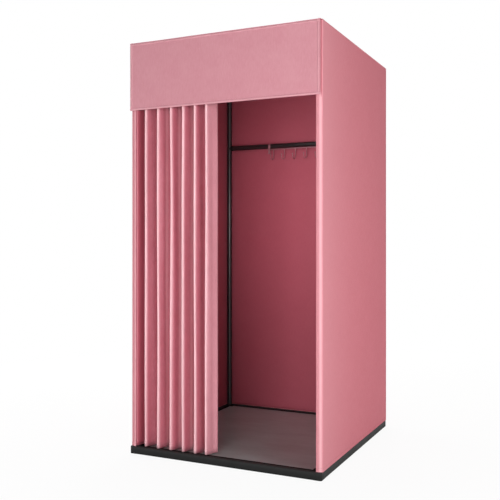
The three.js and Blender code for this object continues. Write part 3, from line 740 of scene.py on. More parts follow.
# Rolled edge: stands out as a half ellipse over its height
def rollRise(distance, roll):
    return roll["rise"] * halfRound(2 * distance / roll["height"] - 1)


def highest(*rises):
    return np.maximum.reduce(rises)


# Slow waves over a sheet: each is height * (1 + sin(2 pi (along u + up v) + phase)) / 2
def ripple(u, v, ripples):
    return sum(
        size * (0.5 + 0.5 * np.sin(2 * np.pi * (along * u + up * v) + phase))
        for size, along, up, phase in ripples
    )


# Close grid lines over a seam's cord or furrow, and a little past it
def seamLines(middle, width, reach=0.6, count=9):
    return middle + width * np.linspace(-reach, reach, count)


# Where a length's grid needs close lines for a hem at its start and one at its end: at the hem's
# step and at its thread
def hemMarks(length, first, last):
    near = [first["width"], first["stitch"]] if first else []
    far = [length - last["width"], length - last["stitch"]] if last else []
    return near + far


# Several sets of grid lines as one, each place once
def joinLines(*sets, places=5):
    return np.unique(np.concatenate(sets).round(places))


# Gives a sheet its thickness: inwards, with the lining on its inner side, or to both sides
def thicken(made, thickness, lined=True):
    shell = made.modifiers.new("clothThickness", "SOLIDIFY")
    shell.thickness = thickness
    shell.offset = -1 if lined else 0
    shell.use_even_offset = lined
    shell.material_offset = 1 if lined else 0
    return made


# Turns a sheet's faces so that they look along a direction at their middle
def faceTowards(made, direction):
    mesh = made.data
    normals = np.zeros(len(mesh.polygons) * 3, np.float32)
    mesh.polygons.foreach_get("normal", normals)
    if (normals.reshape(-1, 3).mean(axis=0) @ np.array(direction)) < 0:
        mesh.flip_normals()
    return made


# Lined cover in place of its CAD node, from a grid of points and their places on the flat cloth
def coverPiece(node, points, across, up, outward, cloth, **marks):
    quads = gridQuads(*points.shape[:2])
    made = meshObject(node + "_cloth", points, quads, np.stack([across, up], axis=-1), **marks)
    faceTowards(made, outward)
    thicken(made, coverSetup["cloth"])
    return finishPiece(made, [cloth, shadedLiningCloth], replaced=[node])


# Cord along a cover's foot, which shuts the slit above the base's rounded edge: a circle carried
# from start to end
def footCord(name, start, end):
    cord = coverSetup["cord"]
    share = np.linspace(0, 1, cord["steps"])[:, None]
    along = np.array(end) - np.array(start)
    across = unit(np.cross(along, (0, 0, 1)))
    profile = circleProfile(cord["radius"], cord["sides"])
    made = carriedPiece(
        name + "_cord", start + share * along, across, (0, 0, 1), profile,
        sharpAngle=cord["sharpAngle"],
    )
    return finishPiece(made, coverPiping)


# Painted light on a side cover, from the distance to the doorway and the height: a painted highlight
# band on the return, paler cloth towards the front, and a painted shadow line beside the valance
def sidePaintedLight(ahead, level, side):
    tones = coverSetup["tones"]
    paintedBand = tones["amount"] * bell(ahead, *tones["left" if side < 0 else "right"])
    covered = level > cornersOf("valance")[0][2]
    paintedFrontLight = tones["paintedLightAmount"] * np.exp(-ahead / tones["paintedLightReach"])
    line = bell(ahead, tones["paintedShadowPlace"], tones["paintedShadowWidth"])
    return {
        "crest": np.maximum(paintedBand * (1 - tones["behindValance"] * covered), paintedFrontLight),
        "furrow": tones["paintedShadowAmount"] * covered * line,
    }


# Cover on a wall, along a path seen from above: point = path(s) + outward normal * (hems +
# ripples), at height z, with X turned round where side is -1. Side is 0 at the rear, which has no
# doorway. Its cord runs from start to end.
def wallCover(name, path, lines, side, start, end):
    low, high = cornersOf(name)
    mirror = np.array([side or 1, 1, 1])
    hem, edge = coverSetup["hem"], coverSetup["edge"]
    length, height = path["length"], high[2] - low[2]
    s = gridLines(length, coverSetup["step"], hemMarks(length, edge, edge))
    marks = [hem["width"], hem["stitch"], height - edge["width"]]
    z = gridLines(height, coverSetup["step"] * coverSetup["upShare"], marks)
    if side:
        reach, count = coverSetup["bindingLines"]
        s = joinLines(s, *lines)
        z = joinLines(z, np.linspace(0, coverSetup["binding"]["height"] * reach, count))
    point, normal = pathAt(path, s)
    grid, up = np.meshgrid(s, z, indexing="ij")
    rise = highest(hemRise(up, hem), hemRise(height - up, edge), bothHems(grid, length, edge))
    phase = 0 if side else coverSetup["rearPhase"]
    rise = rise + ripple(grid + phase, up, coverSetup["ripples"]) - coverSetup["settle"]
    outward, tones = (0, 1, 0), {}
    if side:
        rise = np.maximum(rise, rollRise(up, coverSetup["binding"]))
        # Painted highlights and painted shade of a side cover, as marks of its mesh
        outward, tones = (side, -0.2, 0), sidePaintedLight(length - grid, up + low[2], side)
    flat = point[:, None] + normal[:, None] * rise[..., None]
    points = np.concatenate([flat, (up + low[2])[..., None]], axis=-1) * mirror
    made = coverPiece(name, points, grid, up, outward, coverCloth, **tones)

    def seam(distance, height):
        line, away = pathInSpace(path, distance, height + low[2], coverSetup["threadLift"])
        return line * mirror, away * mirror

    steps, upSteps = coverSetup["threadSteps"]
    walk = np.linspace(edge["stitch"], length - edge["stitch"], steps)
    climb = np.linspace(hem["stitch"], height - edge["stitch"], upSteps)
    runs = [seam(walk, level) for level in climb[[0] if side else [0, -1]]]
    runs += [seam(place, climb) for place in walk[[-1, 0]]]
    stitches = stitchPiece(name + "_stitches", runs, deepThread)
    foot = low[2] + coverSetup["cord"]["radius"]
    piping = footCord(name, (*start, foot), (*end, foot))


# Side cover: its path is that of the right one, from the rear edge along the side, round the
# front corner in arcs and along the front to the doorway
def sideCover(name, side):
    low, high = cornersOf("side_cover_" + name)
    inset = coverSetup["standOut"]
    outer = high[0] if side > 0 else -low[0]
    turned, ahead, across, bends, starts, corner = 0.0, 0.0, 0.0, [], [0.0], []
    for radius, turn in coverSetup["corner"]:
        begin, turned = math.radians(turned), turned + turn
        ahead += radius * (math.sin(math.radians(turned)) - math.sin(begin))
        across += radius * (math.cos(begin) - math.cos(math.radians(turned)))
        bends.append(("arc", radius, -turn))
        arc = np.linspace(0, radius * math.radians(turn), coverSetup["cornerLines"])
        corner.append(starts[-1] + arc)
        starts.append(corner[-1][-1])
    straight = high[1] - low[1] - ahead - inset
    path = walkPath((outer - inset, high[1]), -90, [
        ("straight", straight), *bends, ("straight", high[0] - low[0] - across - inset),
    ])
    lines = [
        straight + np.concatenate(corner),
        seamLines(path["length"] - coverSetup["edge"]["stitch"], coverSetup["seamWidth"]),
        path["length"] - np.linspace(*coverSetup["returnLines"]),
    ]
    x, ends = side * (outer - coverSetup["cord"]["inset"]), coverSetup["cord"]["ends"]
    start, end = (x, low[1] + ends), (x, high[1] - ends)
    wallCover("side_cover_" + name, path, lines, side, start, end)


def rearCover():
    low, high = cornersOf("rear_cover")
    path = walkPath((low[0], high[1]), 0, [("straight", high[0] - low[0])])
    inset = coverSetup["cord"]["inset"]
    start, end = (low[0] + inset, high[1] - inset), (high[0] - inset, high[1] - inset)
    wallCover("rear_cover", path, [], 0, start, end)


roofSetup = {
    "sag": 0.007,
    "step": 0.02,
    "settle": 0.0005,
    "flatEdge": 0.03,  # stays level beside the rails
    "reach": 0.4,  # from there to where creases are free
    "sagReach": 0.5,  # and the share of it over which the sag grows
    "pulls": [  # height, waves, way across, middle and width of each fan of creases
        (0.0009, 60, -1, 1, 0.35, 0.22),
        (0.0007, 52, 1, -1, 0.6, 0.2),
    ],
}


# Roof cover: point = (x, y, roof - sag + creases + hems), where the sag between the rails is the
# product of two half sine waves and faint creases run diagonally towards the corners.
def roofCover():
    setup, edge = roofSetup, coverSetup["edge"]
    low, high = cornersOf("roof_cover")
    width, depth = high[0] - low[0], high[1] - low[1]
    across = gridLines(width, setup["step"], hemMarks(width, edge, edge))
    along = gridLines(depth, setup["step"], hemMarks(depth, edge, edge))
    x, y = np.meshgrid(across, along, indexing="ij")
    u, v = x / width, y / depth
    nearest = np.minimum(np.minimum(x, width - x), np.minimum(y, depth - y))
    inner = np.clip((nearest - setup["flatEdge"]) / setup["reach"], 0, 1)
    free = smoothStep(inner, 0, setup["sagReach"])
    sag = setup["sag"] * np.sin(np.pi * u) * np.sin(np.pi * v) * free
    pulls = sum(
        size * np.sin(waves * (u + way * v)) * bell(u + fan * v, middle, spread)
        for size, waves, way, fan, middle, spread in setup["pulls"]
    )
    rise = np.maximum(bothHems(x, width, edge), hemRise(depth - y, edge)) - setup["settle"]
    points = np.stack([low[0] + x, low[1] + y, high[2] - sag + pulls * inner + rise], axis=-1)
    made = coverPiece("roof_cover", points, x, y, (0, 0, 1), coverCloth)
    piping = roofPiping(low, high)


pipingSetup = {
    "radius": 0.0022,
    "corner": 0.006,
    "inset": 0.0006,
    "sunkShare": 0.4,  # how far its middle lies below the roof, in radii
    "sides": 12,
    "lines": (60, 9),  # along the whole of it and over each corner
    "sharpAngle": 50,
}


# Piping round three sides of the roof: a circle carried along a path with rounded corners
def roofPiping(low, high):
    radius, corner, inset = (pipingSetup[part] for part in ("radius", "corner", "inset"))
    width = high[0] - low[0] - 2 * inset
    depth = high[1] - low[1] - inset
    path = walkPath((low[0] + inset, low[1]), 90, [
        ("straight", depth - corner),
        ("arc", corner, -90),
        ("straight", width - 2 * corner),
        ("arc", corner, -90),
        ("straight", depth - corner),
    ])
    quarter = corner * np.pi / 2
    turns = [depth - corner, path["length"] - depth + corner - quarter]
    count, cornerCount = pipingSetup["lines"]
    s = joinLines(
        np.linspace(0, path["length"], count),
        *(turn + np.linspace(0, quarter, cornerCount) for turn in turns),
    )
    line, across = pathInSpace(path, s, high[2] - radius * pipingSetup["sunkShare"])
    profile, sharpAngle = circleProfile(radius, pipingSetup["sides"]), pipingSetup["sharpAngle"]
    made = carriedPiece(
        "roof_piping", line, across, (0, 0, 1), profile, sharpAngle=sharpAngle
    )
    return finishPiece(made, coverPiping)


valanceSetup = {
    "standOut": 0.0002,
    "settle": 0.0008,
    "bend": 0.002,  # radius over the edge of the roof
    "steps": (0.012, 0.016),  # of the grid upwards and across
    "bendLines": 7,  # of the grid, over the bend
    "rollLines": (1.3, 12),  # over the rolled hem: how far, in its heights, and how many
    "roll": {"height": 0.011, "rise": 0.0024},  # the rolled hem
    "furrow": {"place": 1.08, "depth": 0.0005, "width": 0.0014},  # place in heights of the hem
    "threads": (1.16, 1.2),  # heights of the hem: the thread above it, the foot of the side ones
    "edge": {"width": 0.0068, "rise": 0.0006, "stitch": 0.0050},
    "welt": {"place": 0.0086, "width": 0.0034, "rise": 0.0017},  # in from the ends and the top
    "shift": -0.0022,  # hangs a little towards the left
    "threadLift": 0.0003,
    "threadSteps": (60, 90),  # across and up
    "ripples": [
        (0.0006, 1.7, 0.8, 0.9),
        (0.0004, 3.1, 2.6, 2.2),
        (0.0003, 0.9, 5.2, 5.0),
    ],
    "tones": {
        # Painted light: pale is the strength of painted highlights, dark that of painted shade
        "pale": 0.55,
        "dark": 0.7,
        "frontStart": 0.9,  # in heights of the rolled hem
        "weltWidth": 0.5,  # painted highlight on a welt and painted shade beside it, in widths of the welt
        "besideWidth": 0.4,
        "paintedRollHighlight": 0.8,  # painted highlight on the rolled hem
        "rollWidth": 0.004,
        "paintedTopShade": 0.6,  # painted shade above the upper welt
        "topFade": 0.003,
    },
}


# Painted highlights and painted shade on the valance, from the distances along its height and width;
# the hem's furrow is painted dark too
def valancePaintedLight(up, across, height, width, furrow):
    tones, roll, welt = (valanceSetup[part] for part in ("tones", "roll", "welt"))
    onFront = (up > roll["height"] * tones["frontStart"]) & (up < height)
    pale, dark = 0 * up, 0 * up
    for away in (across, width - across, height - up):
        middle = (away - welt["place"]) / welt["width"]
        pale = np.maximum(pale, onFront * bell(middle, 0, tones["weltWidth"]))
        dark = np.maximum(dark, onFront * bell(middle, 1, tones["besideWidth"]))
    pale = np.maximum(pale, tones["paintedRollHighlight"] * bell(up, roll["height"] / 2, tones["rollWidth"]))
    below = smoothStep(height - up, welt["place"], welt["place"] + tones["topFade"])
    dark = highest(dark, furrow, tones["paintedTopShade"] * (onFront * (1 - below)))
    return {"crest": tones["pale"] * pale, "furrow": tones["dark"] * dark * (1 - pale)}


# Valance: a path seen from the side, up the front, over the edge of the roof and back along it,
# drawn out across. Point = (x, path(s) + normal * (rolled hem, hems, welts and ripples)).
def valance():
    setup = valanceSetup
    low, high = cornersOf("valance")
    height, width = high[2] - low[2], high[0] - low[0]
    bend, roll, edge, welt = (setup[part] for part in ("bend", "roll", "edge", "welt"))
    path = walkPath((low[1] + setup["standOut"], low[2]), 90, [
        ("straight", height - bend),
        ("arc", bend, -90),
        ("straight", high[1] - low[1] - bend - setup["standOut"]),
    ])
    length = path["length"]
    (upStep, acrossStep), (reach, count) = setup["steps"], setup["rollLines"]
    s = joinLines(
        gridLines(length, upStep, hemMarks(length, None, edge)),
        height - bend + np.linspace(0, bend * np.pi / 2, setup["bendLines"]),
        np.linspace(0, roll["height"] * reach, count),
        seamLines(height - welt["place"], welt["width"]),
    )
    close = seamLines(welt["place"], welt["width"])
    x = joinLines(gridLines(width, acrossStep, hemMarks(width, edge, edge)), close, width - close)
    spot, normal = pathAt(path, s)
    up, across = np.meshgrid(s, x, indexing="ij")
    pulled = setup["furrow"]
    furrow = bell(up, roll["height"] * pulled["place"], pulled["width"])
    rise = np.maximum(rollRise(up, roll), bothHems(across, width, edge)) - pulled["depth"] * furrow
    aboveRoll = up > roll["height"]
    rise = highest(
        rise,
        hemRise(length - up, edge),
        weltRise(across, welt) * aboveRoll,
        weltRise(width - across, welt) * aboveRoll,
        weltRise(height - up, welt),
    )
    rise = rise + ripple(across, up, setup["ripples"]) - setup["settle"]
    point = spot[:, None] + normal[:, None] * rise[..., None]
    left = low[0] + setup["shift"]
    points = np.concatenate([(left + across)[..., None], point], axis=-1)
    # Painted highlights and painted shade of the valance, as marks of its mesh
    tones = valancePaintedLight(up, across, height, width, furrow)
    made = coverPiece("valance", points, across, up, (0, -1, 0.1), valanceCloth, **tones)
    (steps, upSteps), lift = setup["threadSteps"], setup["threadLift"]
    x = left + np.linspace(edge["stitch"], width - edge["stitch"], steps)
    above, foot = (share * roll["height"] for share in setup["threads"])
    levels = (above, length - edge["stitch"], height - edge["stitch"])
    climb = np.linspace(foot, length - edge["stitch"], upSteps)
    runs = [pathInSpace(path, level, x, lift, upright=True) for level in levels]
    runs += [pathInSpace(path, climb, place, lift, upright=True) for place in x[[0, -1]]]
    stitches = stitchPiece("valance_stitches", runs, sewingThread)


coverPiping = hardMaterial(
    "coverPiping", clothTones["cover"], worn=clothTones["thread"], dusty=clothTones["coverDeep"],
    rough=(0.55, 0.7), cells=1500.0, grain=0.0001, wear=0.15, dust=0.1, Sheen_Weight=0.2,
)
sideCover("left", -1)
sideCover("right", 1)
rearCover()
roofCover()
valance()
print("stage: covers sewn")


# Curtain

curtainSetup = {
    "cloth": 0.0014,
    "clear": 0.001,  # from the middle of the cloth to the solid's box
    "lines": (10, 13),  # of the grid over a straight face and over a fold
    "step": 0.026,  # of the grid upwards
    "tab": 0.015,  # flat length behind the front return
    "foldRadius": 0.006,  # to the middle of the cloth
    "leadEdge": 0.0249,  # from the last ridge to the free edge's outermost side
    "pitches": [0.8, 1.06, 1.08, 1.05, 0.97, 0.92],  # from ridge to ridge, against each other
    "crestShare": 0.4,  # of a fold's round, from its start to its crest
    "hem": {"width": 0.030, "rise": 0.0007, "stitch": 0.026},
    "edge": {"width": 0.010, "rise": 0.0006, "stitch": 0.008},
    "head": {"width": 0.026, "rise": 0.0008, "stitch": 0.022},
    "sway": 0.0022,  # how far a ridge wanders as it hangs
    "swayFold": 0.155,  # length of cloth over which the phase of the sway turns once
    "swayWaves": [  # share across, share in depth, turn upwards, turns a fold, phase
        (1.0, 0.0, 1.9, 0.61, 0.0),
        (0.4, 0.0, 5.1, 1.37, 0.0),
        (0.0, 0.7, 2.6, 0.83, 1.0),
    ],
    "swell": {"height": 0.0012, "length": 0.047, "wander": 1.3, "turn": 1.1},  # between folds
    "freeAlong": (0.0, 0.12),  # where sway and swells grow, from the fixed edge
    "freeBelow": (0.02, 0.7),  # and from the heading downwards
    "clip": (0.0011, 0.002),  # inside the box's front and past its rear
    "threadLift": 0.0001,
    "crest": {"before": 0.0055, "after": 0.0095, "flap": 0.25},  # painted highlight on a fold, and weaker on the free flap
    "second": {"place": 0.0545, "width": 0.006, "amount": 0.42},  # painted highlight deep on three folds
    "paintedShadeBeside": {"place": 0.022, "width": 0.014, "amount": 0.45},  # painted shade after a crest
    "first": {"amount": 0.2, "rise": 0.005, "reach": 0.03},  # painted shade on the fold by the return
}


# The curtain seen from above: round folds at the front and rear, joined by straight faces that
# touch both rounds, found from the angle between their centres.
def curtainPath(setup):
    low, high = cornersOf("curtain")
    radius, clear = setup["foldRadius"], setup["clear"]
    firstX, lastX = low[0] + setup["tab"], high[0] - setup["leadEdge"]
    frontY, rearY = low[1] + clear + radius, high[1] - clear - radius
    steps = np.concatenate([[0], np.cumsum(setup["pitches"])])
    ridges = firstX + (lastX - firstX) * steps / steps[-1]
    rounds = [(ridges[0], frontY, 1)]
    for before, after in zip(ridges[:-1], ridges[1:]):
        rounds += [((before + after) / 2, rearY, -1), (after, frontY, 1)]
    rounds.append((high[0] - clear, high[1], 0))
    stretches, turn = [("straight", setup["tab"])], 0.0
    for (x, y, side), (nextX, nextY, nextSide) in zip(rounds[:-1], rounds[1:]):
        span = math.hypot(nextX - x, nextY - y)
        gap = radius if nextSide == 0 else 2 * radius
        heading = math.atan2(nextY - y, nextX - x) + side * math.asin(gap / span)
        stretches.append(("arc", radius, math.degrees(heading - turn)))
        stretches.append(("straight", math.sqrt(span ** 2 - gap ** 2)))
        turn = heading
    return walkPath((low[0], frontY - radius), 0, stretches), stretches


# Grid lines along the curtain's path, close in the rounds, and the place of each front crest
def foldLines(stretches, setup):
    onStraight, onFold = setup["lines"]
    lines, crests, walked = [0.0], [], 0.0
    for kind, size, *more in stretches:
        straight = kind == "straight"
        length = size if straight else size * math.radians(abs(more[0]))
        lines.append(walked + np.linspace(0, length, onStraight if straight else onFold)[1:])
        if not straight and more[0] > 0:
            crests.append(walked + length * setup["crestShare"])
        walked += length
    return np.hstack(lines), crests


# Painted highlights and painted shade at places along the curtain
def curtainPaintedLight(s, crests):
    parts = ("crest", "second", "paintedShadeBeside", "first")
    crest, second, paintedShadeBeside, first = (curtainSetup[part] for part in parts)
    past = s[:, None] - np.array(crests[1:])
    pale = bell(past, 0, np.where(past < 0, crest["before"], crest["after"])).max(axis=1)
    inner = bell(past[:, 1:4], second["place"], second["width"]).max(axis=1)
    pale = highest(pale, crest["flap"] * (s > crests[-1]), second["amount"] * inner)
    grown = smoothStep(s, crests[0] - first["rise"], crests[0])
    dark = first["amount"] + (1 - first["amount"]) * grown
    dark = dark * (s < crests[1] - first["reach"])
    spread = bell(past[:, :-1], paintedShadeBeside["place"], paintedShadeBeside["width"]).max(axis=1)
    return pale, np.maximum(dark, paintedShadeBeside["amount"] * spread)


# Curtain: point = path(s) + sway + normal * (swells - hems), at height z. The sway of a ridge is
# a sum of slow sines of the height whose phase follows its place, and it fades out at the heading.
def curtain():
    setup = curtainSetup
    low, high = cornersOf("curtain")
    path, stretches = curtainPath(setup)
    lines, crests = foldLines(stretches, setup)
    length, height = path["length"], high[2] - low[2]
    edge, hem, head = setup["edge"], setup["hem"], setup["head"]
    s = joinLines(lines, gridLines(length, length, hemMarks(length, None, edge)))
    z = gridLines(height, setup["step"], hemMarks(height, hem, head))
    along, up = np.meshgrid(s, z, indexing="ij")
    spot, normal = pathAt(path, s)
    free = smoothStep(along, *setup["freeAlong"]) * smoothStep(height - up, *setup["freeBelow"])
    fold = along * (2 * np.pi / setup["swayFold"])
    sway = sum(
        np.sin(turn * up + turns * fold + phase)[..., None] * np.array([across, deep])
        for across, deep, turn, turns, phase in setup["swayWaves"]
    )
    swell = setup["swell"]
    wander = swell["wander"] * np.sin(swell["turn"] * up)
    rise = swell["height"] * np.sin(2 * np.pi * along / swell["length"] + wander) * free
    rise = rise - hemRise(up, hem) - hemRise(height - up, head) - hemRise(length - along, edge)
    flat = spot[:, None] + setup["sway"] * sway * free[..., None] + normal[:, None] * rise[..., None]
    near, past = setup["clip"]
    flat[..., 1] = np.clip(flat[..., 1], low[1] + near, high[1] + past)
    points = np.concatenate([flat, (low[2] + up)[..., None]], axis=-1)
    # Painted highlight and painted shade along the curtain, the same up its height
    pale, dark = (np.broadcast_to(tone[:, None], along.shape) for tone in curtainPaintedLight(s, crests))
    quads = gridQuads(len(s), len(z))
    clothPlace = np.stack([along, up], axis=-1)
    made = meshObject("curtain_cloth", points, quads, clothPlace, crest=pale, furrow=dark)
    thicken(made, setup["cloth"], lined=False)
    finishPiece(made, curtainCloth, body=None, replaced=["curtain"])
    stitches = curtainStitches(points, s, z, length, height)
    for piece in (made, stitches):
        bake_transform(piece)


# Thread lines on both sides of the curtain: rows of its own grid, lifted off the cloth
def curtainStitches(points, s, z, length, height):
    setup = curtainSetup
    outward = unit(np.cross(np.gradient(points, axis=0), np.gradient(points, axis=1)))
    lift = setup["cloth"] / 2 + setup["threadLift"]
    levels = (setup["hem"]["stitch"], height - setup["head"]["stitch"])
    rows = [np.s_[:, np.abs(z - level).argmin()] for level in levels]
    rows.append(np.abs(s - (length - setup["edge"]["stitch"])).argmin())
    runs = [
        (points[row] + way * lift * outward[row], way * outward[row])
        for row in rows for way in (1, -1)
    ]
    return stitchPiece("curtain_stitches", runs, deepThread, body=None)


curtain()
print("stage: curtain hung")


# Frame tubes

tubeSetup = {"wall": 0.0015, "ease": 0.0005, "sides": 56}


# Tube: its wall's section, with eased edges, turned about the line through the node's middle
def smoothTube(node):
    low, high = cornersOf(node)
    size, middle = high - low, (low + high) / 2
    way = int(np.argmax(size))
    radius, half = (size.sum() - size[way]) / 4, size[way] / 2
    inner, ease = radius - tubeSetup["wall"], tubeSetup["ease"]
    section = [
        (radius, -half + ease), (radius, half - ease), (radius - ease, half), (inner + ease, half),
        (inner, half - ease), (inner, -half + ease), (inner + ease, -half), (radius - ease, -half),
    ]
    made = turnedPiece(node + "_tube", section, middle, np.eye(3)[way], tubeSetup["sides"])
    return finishPiece(made, coatedSteel, replaced=[node])


cornerNames = ["front_left", "front_right", "rear_left", "rear_right"]
sideNames = ["front", "rear", "left", "right"]
tubeNodes = ["post_" + place for place in cornerNames] + ["top_rail_" + side for side in sideNames]
for node in tubeNodes + ["hanging_rail"]:
    smoothTube(node)
print("stage: tubes drawn")


# Moulded and cut parts

shapeSetup = {
    "merge": 1e-5,  # points nearer than this are one
    "flat": math.radians(0.6),  # faces that turn less than this become one flat
    "sharp": math.radians(32),
    "segments": 2,  # of an eased edge
}


# Keeps the shape of its node: the triangles are merged into flats and the edges eased by a bevel
def dressNode(node, material, ease, body="booth"):
    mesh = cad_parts[node].data.copy()
    mesh.materials.clear()
    mesh.name = node + "_shape"
    made = bpy.data.objects.new(node + "_shape", mesh)
    scene.collection.objects.link(made)
    work = bmesh.new()
    work.from_mesh(mesh)
    bmesh.ops.remove_doubles(work, verts=work.verts, dist=shapeSetup["merge"])
    flat = shapeSetup["flat"]
    bmesh.ops.dissolve_limit(work, angle_limit=flat, verts=work.verts, edges=work.edges)
    work.to_mesh(mesh)
    work.free()
    mesh.polygons.foreach_set("use_smooth", np.ones(len(mesh.polygons), bool))
    mesh.set_sharp_from_angle(angle=shapeSetup["sharp"])
    bevel = made.modifiers.new("easedEdges", "BEVEL")
    bevel.width, bevel.segments = ease, shapeSetup["segments"]
    bevel.limit_method, bevel.angle_limit = "ANGLE", shapeSetup["sharp"]
    bevel.harden_normals = True
    return finishPiece(made, material, body, [node])


for place in cornerNames:
    dressNode("base_corner_" + place, mouldedPlastic, 0.0006)
    dressNode("foot_pad_" + place, footRubber, 0.0003)
    dressNode("top_connector_" + place, mouldedPlastic, 0.0004)
for side in ("left", "right"):
    dressNode("floor_crossbar_" + side, coatedSteel, 0.0004)
    dressNode("rail_saddle_" + side, mouldedPlastic, 0.0004)
    dressNode("track_stop_" + side, mouldedPlastic, 0.0004)
for place in ("left", "middle", "right"):
    dressNode("track_bracket_" + place, mouldedPlastic, 0.0004)
dressNode("curtain_track", trackAluminium, 0.0002)
for number in range(1, 6):
    glider = f"curtain_glider_{number}"
    dressNode(glider, gliderNylon, 0.0003, glider + "_carrier")
dressNode("lead_glider", gliderNylon, 0.0003, "lead_carrier")
for side in sideNames:
    dressNode("base_beam_" + side, baseSteel, 0.0003)
print("stage: moulded parts dressed")


# Floor

dressNode("floor_board", floorVinyl, 0.0006)

edgingSetup = {
    "width": 0.018,
    "height": 0.0012,
    "chamfer": 0.0006,
    "inset": 0.0004,
    "clear": 0.0012,
    "sharpAngle": 30,
}


# Black edging round the board: its section, (inset, height), carried round the board's outline,
# whose corners follow the corner blocks. Each corner moves along the sum of its two inward
# normals, so that the corners are mitred.
def floorEdging(setup):
    low, high = cornersOf("floor_board")
    parts = ("width", "height", "chamfer", "inset", "clear")
    width, height, chamfer, inset, clear = (setup[part] for part in parts)
    (left, _, _), (right, _, _) = cornersOf("base_beam_front")
    (_, near, _), (_, far, _) = cornersOf("base_beam_left")
    left, right, near, far = left + clear, right - clear, near + clear, far - clear
    outline = np.array([
        (left, low[1]), (right, low[1]), (right, near), (high[0], near),
        (high[0], far), (right, far), (right, high[1]), (left, high[1]),
        (left, far), (low[0], far), (low[0], near), (left, near),
    ])
    ahead = unit(np.roll(outline, -1, axis=0) - outline)
    inward = np.stack([-ahead[:, 1], ahead[:, 0]], axis=1)
    mitre = inward + np.roll(inward, 1, axis=0)
    section = np.array([
        (inset, 0), (inset, height - chamfer), (inset + chamfer, height),
        (width - chamfer, height), (width, height - chamfer), (width, 0),
    ])
    flat = outline[:, None] + mitre[:, None] * section[None, :, :1]
    level = np.broadcast_to(high[2] + section[None, :, 1:], (len(outline), len(section), 1))
    points = np.concatenate([flat, level], axis=-1)
    made = meshObject("floor_edging", points, gridQuads(len(outline), len(section), True, True))
    closeUp(made, setup["sharpAngle"])
    return finishPiece(made, edgingBlack)


edgingBlack = hardMaterial(
    "edgingBlack", paint(9, 8, 8), worn=paint(32, 30, 31), dusty=paint(40, 37, 37),
    rough=(0.6, 0.74), cells=600.0, grain=0.00006, wear=0.2, dust=0.1, Specular_IOR_Level=0.08,
)
floorEdging(edgingSetup)
print("stage: floor laid")


# Hook rack

rackSetup = {
    "strapWidth": 0.014,
    "strapThickness": 0.0016,
    "strapEase": 0.0006,
    "strapGap": 0.0003,
    "rearDrop": 0.014,
    "frontDrop": 0.040,
    "curlRadius": 0.007,
    "curlTurn": 110,
    "strapSpacing": 0.410,
    "strapSteps": 40,
    "bar": (0.002, 0.006),  # depth and height
    "barEase": 0.0007,
    "barEnd": (0.0005, 0.8),  # how long the eased ends are, and their share of the section
    "wireRadius": 0.0019,
    "weldRadius": 0.0025,
    "weldSpread": (0.003, 0.0034),  # middle and half length of the weld, down from the bar
    "weldSteps": [0, 0.0006, 0.0016, 0.003, 0.0046, 0.0056, 0.0064],
    "wireSides": 20,
    "wireSharpAngle": 60,
    "bendRadius": 0.021,
    "shank": 0.046,
    "tip": 0.007,
    "ballRadius": 0.0042,
    "ballStart": 0.48,  # angle at which the ball leaves the wire
    "ballSteps": 14,
}


# A profile carried along a path in the Y and Z plane, at one place along X
def bentPiece(name, path, s, x, profile, scale=1.0, sharpAngle=35):
    line, across = pathInSpace(path, s, x, upright=True)
    return carriedPiece(name, line, (1, 0, 0), across, profile, scale, sharpAngle)


# Strap: a flat section with eased edges, carried over the rail and down into a curl
def rackStraps():
    setup = rackSetup
    railLow, railHigh = cornersOf("hanging_rail")
    middle = (railLow + railHigh) / 2
    thickness = setup["strapThickness"]
    bend = (railHigh[2] - railLow[2]) / 2 + setup["strapGap"] + thickness / 2
    path = walkPath((middle[1] + bend, middle[2] - setup["rearDrop"]), 90, [
        ("straight", setup["rearDrop"]),
        ("arc", bend, 180),
        ("straight", setup["frontDrop"]),
        ("arc", setup["curlRadius"], -setup["curlTurn"]),
    ])
    s = joinLines(path["s"], np.linspace(0, path["length"], setup["strapSteps"]), places=6)
    profile = roundedProfile(setup["strapWidth"], thickness, setup["strapEase"])
    for side, name in ((-1, "left"), (1, "right")):
        strap = bentPiece("rack_strap_" + name, path, s, side * setup["strapSpacing"] / 2, profile)
        finishPiece(strap, roseMetal, "hook_rack")
    return middle[1] - bend + thickness / 4


# Bar: a flat section with eased edges, along X
def rackBar(front):
    low, high = cornersOf("hook_rack_frame")
    top = cornersOf("rack_hook_1")[1][2]
    (depth, height), (end, share) = rackSetup["bar"], rackSetup["barEnd"]
    x = np.array([low[0], low[0] + end, high[0] - end, high[0]])
    line = np.stack([x, 0 * x + front + depth / 2, 0 * x + top - height / 2], axis=1)
    profile = roundedProfile(depth, height, rackSetup["barEase"])
    made = carriedPiece("rack_bar", line, (0, 1, 0), (0, 0, 1), profile, [share, 1, 1, share])
    finishPiece(made, roseMetal, "hook_rack", ["hook_rack_frame"])


